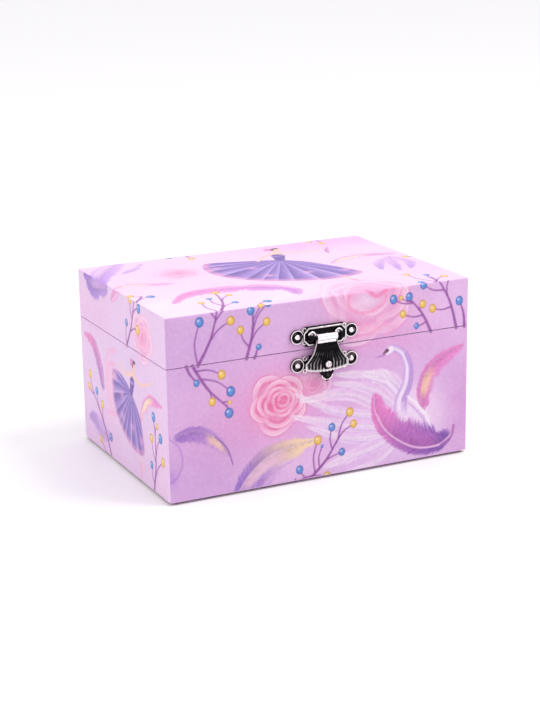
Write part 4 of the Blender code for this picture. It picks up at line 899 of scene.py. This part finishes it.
satin = Recipe("satin_ribbon")
weave = satin.noise(900, 2, satin.place * (1, 0.12, 0.12))
sheen_band = satin.noise(90, 2, satin.place * (1, 0.3, 0.3))
SATIN = satin.finish(satin.mix(sheen_band.ramp(0.35, 0.65), "#e79ac8", "#f8c3de"), 0.28 + weave * 0.15,
    weave, 0.00006, 0.35, Sheen_Weight=0.3, Anisotropic=0.4)

NAILS = tuple(f"{part}_nail_{side}" for part in ("catch", "clasp") for side in ("left", "right"))
SCREWS = ("comb_screw_left", "comb_screw_right", *(f"movement_screw_{n}" for n in (1, 2, 3)))
GLUED = {
    PLAIN: ("body_paper_wrap", "lid_paper_wrap"),
    BOARD: (*(f"{side}_board" for side in ("front", "back", "left", "right", "bottom", "lid_top")),
        "lid_rim_frame"),
    FELT: ("base_felt",),
    VELVET: ("wall_lining", "floor_lining", "stage_board", "stage_front_board", "tray_divider",
        "lid_lining"),
    MIRROR: ("lid_mirror",),
    DARK: ("clasp_plate", "catch_plate"),
    NAIL: NAILS,
    BRASS: ("barrel", "cylinder", "governor_wheel", "governor_bracket"),
    STEEL: (*SCREWS, "winding_arbor", "stop_wire"),
    COMB_STEEL: ("comb",),
    ZINC: ("bedplate",),
    FAN: ("governor_fan",),
    TURNTABLE: ("spindle",),
}
for side in ("left", "right"):
    GLUED[BRASS] += (f"hinge_{side}_body_leaf", f"hinge_{side}_lid_leaf")
    GLUED[STEEL] += (f"hinge_{side}_pin",)
    GLUED[BRASS] += tuple(f"hinge_{side}_{leaf}_nail_{n}" for leaf in ("body", "lid") for n in (1, 2))
for material, names in GLUED.items():
    for name in names:
        nodes[name].data.materials.clear()
        nodes[name].data.materials.append(material)
print("finished", sum(len(names) for names in GLUED.values()), "nodes")

# %% [markdown]
# ## Modelling helpers
# A bar is a box with its edges rounded, a ring is a torus, a bead is a squashed ball and a dowel is
# a round bar. Each leaves its place in its mesh, and every place and size is in millimetres.

# %% Helpers
def clear():
    bpy.ops.object.select_all(action="DESELECT")


def pick(piece):
    clear()
    piece.select_set(True)
    bpy.context.view_layer.objects.active = piece


def fixed(piece):
    """Puts the piece's place, turn and scale in its mesh."""
    pick(piece)
    bpy.ops.object.transform_apply(location=True, rotation=True, scale=True)
    return piece


def settle(piece, name, material, body):
    """Names and finishes a piece, and puts it on its body if it is given one."""
    fixed(piece)
    piece.name = piece.data.name = name
    piece.data.materials.clear()
    piece.data.materials.append(material)
    bpy.ops.object.shade_smooth_by_angle(angle=math.radians(40))
    if body:
        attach(piece, body)
    return piece


def refine(piece, kind, **settings):
    """Adds a modifier and applies it."""
    pick(piece)
    modifier = piece.modifiers.new("refine", kind)
    for key, value in settings.items():
        setattr(modifier, key, value)
    bpy.ops.object.modifier_apply(modifier=modifier.name)
    return piece


def smooth_over(piece):
    return refine(piece, "SUBSURF", levels=1, render_levels=1)


def join(pieces):
    pick(pieces[0])
    for piece in pieces:
        piece.select_set(True)
    bpy.ops.object.join()
    return pieces[0]


def soften(piece, edge, sharp, segments=2):
    """Rounds the edges that are sharper than an angle in degrees."""
    limit = {"limit_method": "ANGLE", "angle_limit": math.radians(sharp)}
    return refine(piece, "BEVEL", width=edge * MM, segments=segments, **limit)


def block(low, high):
    """A box between two corners."""
    clear()
    low, high = np.array(low) * MM, np.array(high) * MM
    bpy.ops.mesh.primitive_cube_add(size=1, location=(low + high) / 2)
    bpy.context.object.scale = high - low
    return fixed(bpy.context.object)


def bar(low, high, edge):
    """A box between two corners with its edges rounded."""
    return refine(block(low, high), "BEVEL", width=edge * MM, segments=2)


def ring(place, radius, thick, way=(0, 0, 1), around=28, across=10):
    clear()
    turn = Vector(way).to_track_quat("Z", "Y").to_euler()
    bpy.ops.mesh.primitive_torus_add(
        location=np.array(place) * MM, rotation=turn, major_radius=radius * MM,
        minor_radius=thick * MM, major_segments=around, minor_segments=across,
    )
    return fixed(bpy.context.object)


def bead(place, radius, squash=(1, 1, 1), segments=16):
    clear()
    bpy.ops.mesh.primitive_uv_sphere_add(
        segments=segments, ring_count=segments // 2 + 2, radius=radius * MM,
            location=np.array(place) * MM
    )
    bpy.context.object.scale = squash
    return fixed(bpy.context.object)


def dowel(start, end, radius, edge=0.15, sides=24):
    """A round bar with softened ends."""
    clear()
    start, end = Vector(start) * MM, Vector(end) * MM
    turn = (end - start).to_track_quat("Z", "Y").to_euler()
    bpy.ops.mesh.primitive_cylinder_add(
        vertices=sides, radius=radius * MM, depth=(end - start).length,
        location=(start + end) / 2, rotation=turn,
    )
    return soften(fixed(bpy.context.object), edge, 50)


def points_of(piece):
    place = np.zeros(len(piece.data.vertices) * 3)
    piece.data.vertices.foreach_get("co", place)
    return place.reshape(-1, 3)


def move_points(piece, place):
    """Puts the piece's points at their places in millimetres."""
    piece.data.vertices.foreach_set("co", (place * MM).ravel())


def write_relief(piece, share):
    relief = piece.data.attributes.new("relief", "FLOAT", "POINT")
    relief.data.foreach_set("value", share.astype(np.float32))


def mark_relief(piece, plane, low, high):
    """Relief from how far each point stands out in front of the plane y: 0 at low, 1 at high."""
    low, high = low - plane, high - plane
    write_relief(piece, np.clip((-points_of(piece)[:, 1] / MM - low) / (high - low), 0, 1))


print("helpers ready")

# %% [markdown]
# ## The clasp
# Upper plate: a raised eight-sided frame round a window, with an eyelet at each side that holds the
# bar. The flap is a fan of ribs below the bar, with a ball through it and a petal to push.

# %% The frame and its eyelets
AXIS_Z, AXIS_Y, EAR_X = 66.8, -56.0, 13.3
FACE = -54.0
UPPER_EAR, LOWER_EAR = 67.6, 54.7
FRAME_X, FRAME_LOW, FRAME_HIGH = 10.6, 63.2, 71.4
FRAME_CORNER, FRAME_LIP, FRAME_DEEP, EYELET_X = 2.4, 0.75, 0.75, 6.6

clear()
bpy.ops.mesh.primitive_cube_add(size=1, location=(0, (FACE - 0.5) * MM,
    (FRAME_LOW + FRAME_HIGH) / 2 * MM))
frame_piece = bpy.context.object
frame_piece.scale = (2 * FRAME_X * MM, 1.1 * MM, (FRAME_HIGH - FRAME_LOW) * MM)
fixed(frame_piece)
bpy.ops.object.mode_set(mode="EDIT")
work = bmesh.from_edit_mesh(frame_piece.data)
for edge in work.edges:
    a, b = (vert.co for vert in edge.verts)
    edge.select = abs(a.x - b.x) < 1e-6 and abs(a.z - b.z) < 1e-6
bmesh.update_edit_mesh(frame_piece.data)
bpy.ops.mesh.bevel(offset=FRAME_CORNER * MM, segments=1)
bpy.ops.mesh.select_mode(type="FACE")
work = bmesh.from_edit_mesh(frame_piece.data)
for item in (*work.verts, *work.edges, *work.faces):
    item.select = False
for face in work.faces:
    if face.normal.y < -0.9:
        face.select_set(True)
bmesh.update_edit_mesh(frame_piece.data)
bpy.ops.mesh.inset(thickness=FRAME_LIP * MM)
bpy.ops.mesh.extrude_region_move(TRANSFORM_OT_translate={"value": (0, FRAME_DEEP * MM, 0)})
bpy.ops.mesh.inset(thickness=0.7 * MM)
bpy.ops.object.mode_set(mode="OBJECT")
soften(frame_piece, 0.22, 30)
mark_relief(frame_piece, FACE, 0.5, 1.35)
settle(frame_piece, "clasp_frame", ANTIQUE, "lid")

eyelets = []
for x in (-EYELET_X, EYELET_X):
    eyelets.append(ring((x, FACE - 1.15, AXIS_Z + 1.0), 1.5, 0.55, (0, 1, 0)))
    eyelets.append(bead((x, FACE - 0.9, AXIS_Z + 1.0), 0.8, (1, 0.6, 1)))
settle(join(eyelets), "clasp_eyelets", BRIGHT, "lid")

SCROLL_IN, SCROLL_UP = 3.5, 2.75
for ear_z, plate in ((UPPER_EAR, "lid"), (LOWER_EAR, "box")):
    pieces = []
    for side in (-1, 1):
        pieces.append(ring((side * EAR_X, FACE - 0.1, ear_z), 2.95, 0.27, (0, 1, 0), 30, 8))
        for rise in (-SCROLL_UP, SCROLL_UP):
            place = (side * (EAR_X - SCROLL_IN), FACE - 0.1, ear_z + rise)
            pieces.append(ring(place, 0.85, 0.3, (0, 1, 0), 18, 8))
    made = join(pieces)
    mark_relief(made, FACE, -0.2, 0.5)
    settle(made, f"ear_scrolls_{plate}", ANTIQUE, plate)
print("frame, eyelets and scrolls, ears", round(UPPER_EAR - LOWER_EAR, 1), "mm apart")

# %% The flap
FAN_TOP, FAN_WIDEST, FAN_EDGE, RIBS = 65.6, 55.6, 53.6, 13
PETAL_Z, BALL_Y, BALL_R = 49.6, -57.75, 1.62


def fan_half(z):
    """Half the flap's width: a straight neck that flares out to the fan."""
    drop = np.clip((FAN_TOP - z) / (FAN_TOP - FAN_WIDEST), 0, 1)
    return 5.0 + 0.7 * drop + 4.9 * drop**2.1


clear()
bpy.ops.mesh.primitive_grid_add(x_subdivisions=104, y_subdivisions=64, size=2)
flap = bpy.context.object
across, down = points_of(flap)[:, 0], (1 - points_of(flap)[:, 1]) / 2
wave = np.abs(np.cos(across * math.pi * RIBS / 2))
scallop, rib = 0.45 * wave**0.7, wave**0.8
edge_z = FAN_EDGE - 2.0 * np.sqrt(np.clip(1 - across**2, 0, 1)) - scallop * (1 - 0.4 * np.abs(across))
z = FAN_TOP + (edge_z - FAN_TOP) * down
x = across * fan_half(z)
drops = np.abs(np.sin(down * math.pi * 14 + np.abs(across) * 4)) * step(0.26 - down, 0, 0.05)
swell = 0.55 * np.sin(np.pi * np.clip(down * 0.9 + 0.12, 0, 1))
swell = swell * np.sqrt(np.clip(1 - across**2 * 0.7, 0, 1))
height = swell + 0.5 * rib * step(down, 0.22, 0.4) * (0.6 + 0.4 * down) + 0.34 * drops * rib
rim = step(np.maximum(np.abs(across), down), 0.93, 0.985)
height = height * (1 - 0.55 * rim) + 0.5 * rim
y = AXIS_Y - 0.15 - height
move_points(flap, np.column_stack([x, y, z]))
share = np.clip((height - swell * (1 - 0.55 * rim)) / 0.5, 0, 1) * (0.5 + 0.06 * down + 0.12 * rim)
# Painted shade: relief falls to 0 in a ring round the catch ball, so the flap is dark there.
share *= step(np.hypot(x, z - LOWER_EAR), 1.9, 2.8)
write_relief(flap, share)
refine(flap, "SOLIDIFY", thickness=0.5 * MM, offset=-1)

parts = [flap]
for place, size, squash in (
    ((0, AXIS_Y - 0.25, PETAL_Z), 2.5, (1.0, 0.32, 0.95)),
    ((-1.9, AXIS_Y - 0.25, PETAL_Z + 1.2), 1.5, (1, 0.4, 1)),
    ((1.9, AXIS_Y - 0.25, PETAL_Z + 1.2), 1.5, (1, 0.4, 1)),
    ((0, AXIS_Y - 0.3, PETAL_Z - 1.9), 1.2, (0.9, 0.45, 1)),
):
    leaf = bead(place, size, squash, 20)
    mark_relief(leaf, AXIS_Y, 0.6, 1.7)
    parts.append(leaf)
for k in range(9):
    turn = math.radians(-160 + k * 17.5)
    place = (math.cos(turn) * 2.75, AXIS_Y - 0.5, PETAL_Z + 0.4 + math.sin(turn) * 2.6)
    dot = bead(place, 0.42, segments=8)
    mark_relief(dot, AXIS_Y, 0.1, 0.7)
    parts.append(dot)
flap = join(parts)
settle(flap, "clasp_flap_casting", ANTIQUE, "clasp_flap")
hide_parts("clasp_flap")

knuckle, *collars = (
    dowel((x - half, AXIS_Y, AXIS_Z), (x + half, AXIS_Y, AXIS_Z), radius, edge, 32)
    for x, half, radius, edge in ((0, 4.9, 1.65, 0.35), (-4.5, 0.5, 1.85, 0.3), (4.5, 0.5, 1.85, 0.3))
)
neck = bar((-4.6, AXIS_Y - 0.75, FAN_TOP - 1.4), (4.6, AXIS_Y + 0.1, AXIS_Z), 0.25)
settle(join([knuckle, *collars, neck]), "clasp_knuckle", BRIGHT, "clasp_flap")
ball = bead((0, BALL_Y, LOWER_EAR), BALL_R, segments=24)
stalk = dowel((0, -57.6, LOWER_EAR), (0, FACE + 0.1, LOWER_EAR), 0.95, 0.1)
settle(join([ball, stalk]), "catch_ball", BRIGHT, "box")
print("flap with", RIBS, "ribs,", len(flap.data.polygons), "faces")

# %% [markdown]
# ## The key
# A butterfly key is stamped from sheet: two round wings with a hole in each, on a hub that screws on
# the movement's arbor through the back.

# %% The winding key
KEY_Z, WING_X, WING_Y, WING_R = 22.0, 6.0, 66.8, 4.75
HOLE_X, HOLE_R = 6.6, 1.5
wings = []
for side in (-1, 1):
    wing = bead((side * WING_X, WING_Y, KEY_Z), WING_R, (1.0, 0.98, 0.17), 28)
    hole = dowel((side * HOLE_X, WING_Y, KEY_Z - 3), (side * HOLE_X, WING_Y, KEY_Z + 3), HOLE_R)
    refine(wing, "BOOLEAN", object=hole, operation="DIFFERENCE", solver="EXACT")
    bpy.data.objects.remove(hole)
    wings.append(wing)
    wings.append(ring((side * HOLE_X, WING_Y, KEY_Z), 1.62, 0.32, (0, 0, 1), 24, 8))
    wings.append(ring((side * WING_X, WING_Y, KEY_Z), 4.35, 0.42, (0, 0, 1), 36, 8))
hub = dowel((0, 54.2, KEY_Z), (0, 62.4, KEY_Z), 2.6, 0.5, 28)
collar = dowel((0, 54.1, KEY_Z), (0, 55.6, KEY_Z), 3.0, 0.3, 28)
web = bar((-3.2, 60.6, KEY_Z - 0.75), (3.2, 66.5, KEY_Z + 0.75), 0.4)
key = settle(join([*wings, hub, collar, web]), "butterfly_key", STEEL, "winding_key")
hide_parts("winding_key")
print("key", len(key.data.polygons), "faces")

# %% [markdown]
# ## The ring cushion
# Flocked foam rolls lie side by side in the left of the tray.

# %% The ring cushion
roll_low, roll_high = (np.array(corner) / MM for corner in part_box("ring_cushion"))
ROLLS, MARGIN, GROOVE, GROOVE_FOOT = 6, 0.8, 5.2, 36
PRESSURE, STIFFNESS, FRAMES, MOST = 2.5, 40, 12, 0.8
clear()
bpy.ops.mesh.primitive_cube_add(size=1, location=(roll_low + roll_high) / 2 * MM)
pad = bpy.context.object
pad.scale = (roll_high - roll_low - (2 * MARGIN, 2 * MARGIN, 3.0)) * MM
fixed(pad)
bpy.ops.object.mode_set(mode="EDIT")
bpy.ops.mesh.subdivide(number_cuts=35)
bpy.ops.object.mode_set(mode="OBJECT")
place = points_of(pad) / MM
length = (roll_high[1] - roll_low[1] - 2 * MARGIN) / ROLLS
turn = (place[:, 1] - roll_low[1] - MARGIN) / length
groove = 1 - np.abs(np.sin(np.pi * turn)) ** 0.55
top = step(place[:, 2], GROOVE_FOOT, roll_high[2] - 2 * MARGIN)
place[:, 2] -= groove * top * GROOVE
move_points(pad, place)
soften(pad, 0.6, 70, segments=1)
start = points_of(pad)
cloth = pad.modifiers.new("swell", "CLOTH")
cloth.settings.use_pressure, cloth.settings.uniform_pressure_force = True, PRESSURE
cloth.settings.effector_weights.gravity = 0
cloth.settings.tension_stiffness = cloth.settings.compression_stiffness = STIFFNESS
cloth.settings.quality = 5
for number in range(1, FRAMES + 1):
    bpy.context.scene.frame_set(number)
pick(pad)
bpy.ops.object.modifier_apply(modifier="swell")
bpy.context.scene.frame_set(1)
moved = points_of(pad) - start
far = np.maximum(np.linalg.norm(moved, axis=1, keepdims=True), 1e-9)
held = start + moved / far * np.minimum(far, MOST * MM)
held = np.clip(held, (roll_low + 0.05) * MM, (roll_high - 0.05) * MM)
pad.data.vertices.foreach_set("co", held.ravel())
smooth_over(pad)
settle(pad, "ring_rolls", CUSHION, "box")
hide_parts("ring_cushion")
print("ring cushion", len(pad.data.polygons), "faces")

# %% [markdown]
# ## Pieces that cross a joint
# The ribbon and the dancer's spring cross a joint. Each is modelled straight, as it stands when the
# lid is open, and every point is then turned back by a share of the joint's turn.

# %% Turning back
def turned(points, pivot, angle):
    """Points (y, z) turned about the X axis through pivot."""
    y, z = points[..., 0] - pivot[0], points[..., 1] - pivot[1]
    angle = np.asarray(angle)
    cos, sin = np.cos(angle), np.sin(angle)
    return np.stack([y * cos - z * sin + pivot[0], y * sin + z * cos + pivot[1]], -1)


def shut(points, pivot, angle, start, end):
    """Where points of the opened piece lie at rest, so that a blend from start to end opens them.

    Each point tries many shares of the turn, and keeps the one that the blend would give it there.
    """
    span = np.subtract(end, start)
    shares = np.linspace(0, 1, 1201)
    guess = np.clip((points[:, 1] - points[:, 1].min()) / np.ptp(points[:, 1]), 0, 1)
    tried = turned(points[:, None, :], pivot, shares[None, :] * angle)
    t = np.clip(((tried - start) * span).sum(-1) / (span**2).sum(), 0, 1)
    miss = np.abs(t * t * (3 - 2 * t) - shares) + 0.004 * np.abs(shares - guess[:, None])
    return tried[np.arange(len(points)), miss.argmin(1)]


# %% The satin ribbon
HINGE = np.array((54.5, 61.3))
OPEN = math.radians(100)
RIBBON_X, RIBBON_WIDE, RIBBON_THICK = 64.5, 5.6, 0.22
ACROSS, ALONG = 10, 90
foot, head = np.array((30.0, 45.75)), np.array((10.0, 77.2))
head_open = turned(head, HINGE, -OPEN)
clear()
bpy.ops.mesh.primitive_grid_add(x_subdivisions=ACROSS, y_subdivisions=ALONG, size=2)
ribbon = bpy.context.object
place = points_of(ribbon)
along = (place[:, 1] + 1) / 2
straight = foot + (head_open - foot) * along[:, None]
rest = shut(straight, HINGE, OPEN, foot, head)
edge = 0.12 * step(np.abs(place[:, 0]), 0.75, 0.95)
across = RIBBON_X + place[:, 0] * RIBBON_WIDE / 2
run = np.gradient(rest.reshape(ALONG + 1, ACROSS + 1, 2)[:, 0], axis=0)
run /= np.linalg.norm(run, axis=1, keepdims=True)
normal = np.repeat(np.column_stack([run[:, 1], -run[:, 0]]), ACROSS + 1, axis=0)
rest = rest + normal * edge[:, None]
move_points(ribbon, np.column_stack([across, rest]))
refine(ribbon, "SOLIDIFY", thickness=RIBBON_THICK * MM, offset=0)
settle(ribbon, "satin_lid_ribbon", SATIN, None)
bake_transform(ribbon)
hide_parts("lid_stay_ribbon")
length = np.linalg.norm(head_open - foot)
for end, body, y, low, high in (("foot", "box", 30.0, 45.25, 45.8), ("head", "lid", 10.0, 77.15, 77.7)):
    tab = bar((RIBBON_X - 3.1, y - 3, low), (RIBBON_X + 3.1, y + 3, high), 0.2)
    settle(tab, f"ribbon_{end}_tab", SATIN, body)
print("ribbon", round(length, 1), "mm long")

# %% [markdown]
# ## The dancer
# A moulded plastic doll on a coil spring, with her arms raised and a short tulle skirt. Her legs
# meet in a point on the spring's top. Shut, the lid folds her forward.

# %% The dancer's spring
PIVOT = np.array((32.467, 52.0))
FOLD = math.radians(62)
COIL, WIRE, TURNS, REACH = 2.1, 0.32, 6.5, 4.4
DANCER = Matrix.Translation((0, PIVOT[0] * MM, PIVOT[1] * MM)) @ Matrix.Rotation(FOLD, 4, "X")


def tube(points, radii, sides=8):
    """A tapering tube through points."""
    clear()
    data = bpy.data.curves.new("tube", "CURVE")
    data.dimensions, data.use_fill_caps = "3D", True
    data.bevel_depth, data.bevel_resolution = MM, sides // 4
    spline = data.splines.new("POLY")
    spline.points.add(len(points) - 1)
    for point, place, radius in zip(spline.points, points, np.broadcast_to(radii, len(points))):
        point.co, point.radius = (*np.array(place) * MM, 1), radius
    made = bpy.data.objects.new("tube", data)
    bpy.context.scene.collection.objects.link(made)
    made.select_set(True)
    bpy.context.view_layer.objects.active = made
    bpy.ops.object.convert(target="MESH")
    return bpy.context.object


turn = np.linspace(0, TURNS * math.tau, 240)
rise = np.linspace(-REACH + WIRE, REACH - WIRE, 240)
coil = np.column_stack([COIL * np.cos(turn), PIVOT[0] + COIL * np.sin(turn), PIVOT[1] + rise])
spring = tube(coil, WIRE)
place = points_of(spring) / MM
start, end = PIVOT - (0, REACH), turned(PIVOT + (0, REACH), PIVOT, FOLD)
place[:, 1:] = shut(place[:, 1:], PIVOT, FOLD, start, end)
move_points(spring, place)
settle(spring, "dancer_coil_spring", STEEL, None)
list(start * MM)
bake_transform(spring)
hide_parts("ballerina_spring")

# %% The figure
def dress(piece, tone):
    """Paints a piece of the doll, and adds it to the figure."""
    colours = piece.data.color_attributes.new("dress", "FLOAT_COLOR", "POINT")
    paint = np.tile((*shade(tone), 1), len(piece.data.vertices))
    colours.data.foreach_set("color", paint.astype(np.float32))
    figure.append(piece)


def lathe(profile, squash):
    """A round form from (radius, height) pairs, flattened front to back by squash."""
    radii, heights = zip(*profile)
    made = tube([(0, 0, z) for z in heights], radii, 12)
    made.scale = (1, squash, 1)
    clear()
    made.select_set(True)
    bpy.ops.object.transform_apply(location=False, rotation=False, scale=True)
    return smooth_over(made)


BODICE, BALLET, LIPS = "#f29bc6", "#f6d3df", "#d8707f"
LEG = (  # x, y, z and radius
    (0.25, 0, 5.4, 0.35), (0.35, 0, 8, 0.62), (0.6, 0.15, 11, 0.95),
    (0.75, 0, 14, 0.82), (0.95, 0, 17.5, 1.15), (1.05, 0, 21.5, 1.4),
)
SHOE = ((0.25, -0.1, 4.9, 0.42), (0.3, -0.05, 6.2, 0.72), (0.35, 0, 7.6, 0.66))
ARM = (
    (2.2, 0, 29.2, 0.72), (3.6, -0.5, 31.2, 0.62), (4.3, -0.9, 34.2, 0.55),
    (3.6, -1.1, 37.4, 0.48), (1.9, -1.1, 39.8, 0.42), (1.0, -1.1, 40.8, 0.3),
)
FOOT = ((2.5, 5.0), (2.5, 5.9), (1.2, 6.3), (0.6, 6.5))
TORSO = ((1.2, 19.5), (2.35, 20.6), (2.3, 22.4), (1.65, 24.4), (1.9, 26.2), (2.3, 27.6), (1.9, 28.5))
NECK = ((1.7, 27.9), (2.35, 28.7), (2.0, 29.5), (0.85, 30.1), (0.72, 31.2), (0.72, 32.2))
figure = []
for side in (-1, 1):
    for limb, tone in ((LEG, BALLET), (SHOE, BODICE), (ARM, SKIN)):
        points = [(x * side, y, z) for x, y, z, _ in limb]
        dress(smooth_over(tube(points, [row[3] for row in limb], 12)), tone)
dress(lathe(FOOT, 1.0), "#f5eef5")
dress(lathe(TORSO, 0.76), BODICE)
dress(lathe(NECK, 0.72), SKIN)
dress(bead((0, -0.1, 33.7), 1.0, (1.85, 2.05, 2.3), 28), SKIN)
dress(bead((0, 0.35, 34.1), 1.0, (1.98, 1.95, 2.2), 28), HAIR)
dress(bead((0, 0.9, 36.4), 1.0, (1.15, 1.1, 0.95), 20), HAIR)
dress(ring((0, 0.75, 35.7), 0.95, 0.2, (0, 0.3, 1), 20, 8), BODICE)
for side in (-1, 1):
    dress(bead((0.68 * side, -1.93, 33.9), 1.0, (0.25, 0.12, 0.16), 12), HAIR)
    brow = [(0.35 * side, -2.02, 34.45), (0.7 * side, -1.98, 34.6), (1.05 * side, -1.82, 34.45)]
    dress(tube(brow, 0.06), HAIR)
dress(bead((0, -2.12, 33.35), 1.0, (0.2, 0.24, 0.34), 12), SKIN)
dress(bead((0, -1.98, 32.65), 1.0, (0.38, 0.14, 0.12), 12), LIPS)
figure = join(figure)
figure.matrix_world = DANCER
settle(figure, "painted_dancer", DOLL, "ballerina")
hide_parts("ballerina_figure")

# %% Her tulle skirt
FRILLS, WAIST_R, HEM_R = 15, 2.35, 12.7
clear()
bpy.ops.mesh.primitive_grid_add(x_subdivisions=180, y_subdivisions=14, size=2)
skirt = bpy.context.object
place = points_of(skirt)
angle, out = (place[:, 0] + 1) * math.pi, (place[:, 1] + 1) / 2
radius = WAIST_R + (HEM_R - WAIST_R) * out
wave = np.sin(angle * FRILLS) * 0.85 * out**1.3 + np.sin(angle * FRILLS * 2 + 1) * 0.15 * out
height = 21.9 - 0.6 * out**2 + wave
move_points(skirt, np.column_stack([radius * np.cos(angle), radius * np.sin(angle), height]))
bpy.context.view_layer.objects.active = skirt
bpy.ops.object.mode_set(mode="EDIT")
bpy.ops.mesh.select_all(action="SELECT")
bpy.ops.mesh.remove_doubles(threshold=0.00001)
bpy.ops.object.mode_set(mode="OBJECT")
skirt.matrix_world = DANCER
area = sum(face.area for face in skirt.data.polygons)
settle(skirt, "tulle_tutu", TULLE, "ballerina")
bpy.ops.object.shade_smooth()
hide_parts("ballerina_tutu")
strip = (HEM_R - WAIST_R + 0.4) * MM
round(area / strip, 4) + 0.0001
print("tutu cut from", round(area * 1e6), "square millimetres")

# %% [markdown]
# ## Table and light
# A white table and an even white surround, with a broad lamp at the upper right and a weaker one on
# the left, which leave only a soft shadow where the box stands.

# %% Stage
clear()
bpy.ops.mesh.primitive_plane_add(size=6, location=(0, 0, cad_box[0][2] - 0.0001))
table = bpy.context.object
table.name = "table"
white = Recipe("white_table")
table.data.materials.append(white.finish("#f7f5f8", 0.7, white.noise(40) * 0.5, 0.0002, 0.1))

world = bpy.data.worlds.new("surround")
bpy.context.scene.world = world
world.use_nodes = True
surround = world.node_tree.nodes["Background"].inputs
surround["Color"].default_value = (1, 1, 1, 1)
surround["Strength"].default_value = 1.0


def lamp(name, place, size, power):
    """A round white lamp that points at the middle of the box."""
    data = bpy.data.lights.new(name, "AREA")
    data.shape, data.size, data.energy = "DISK", size, power
    made = bpy.data.objects.new(name, data)
    bpy.context.scene.collection.objects.link(made)
    made.location = place
    made.rotation_euler = (Vector((0, 0, 0.04)) - Vector(place)).to_track_quat("-Z", "Y").to_euler()


lamp("key_lamp", (0.7, -0.5, 1.3), 0.7, 9)
lamp("left_lamp", (-1.3, -0.3, 0.7), 0.9, 3)
bpy.context.scene.view_settings.view_transform = "Standard"
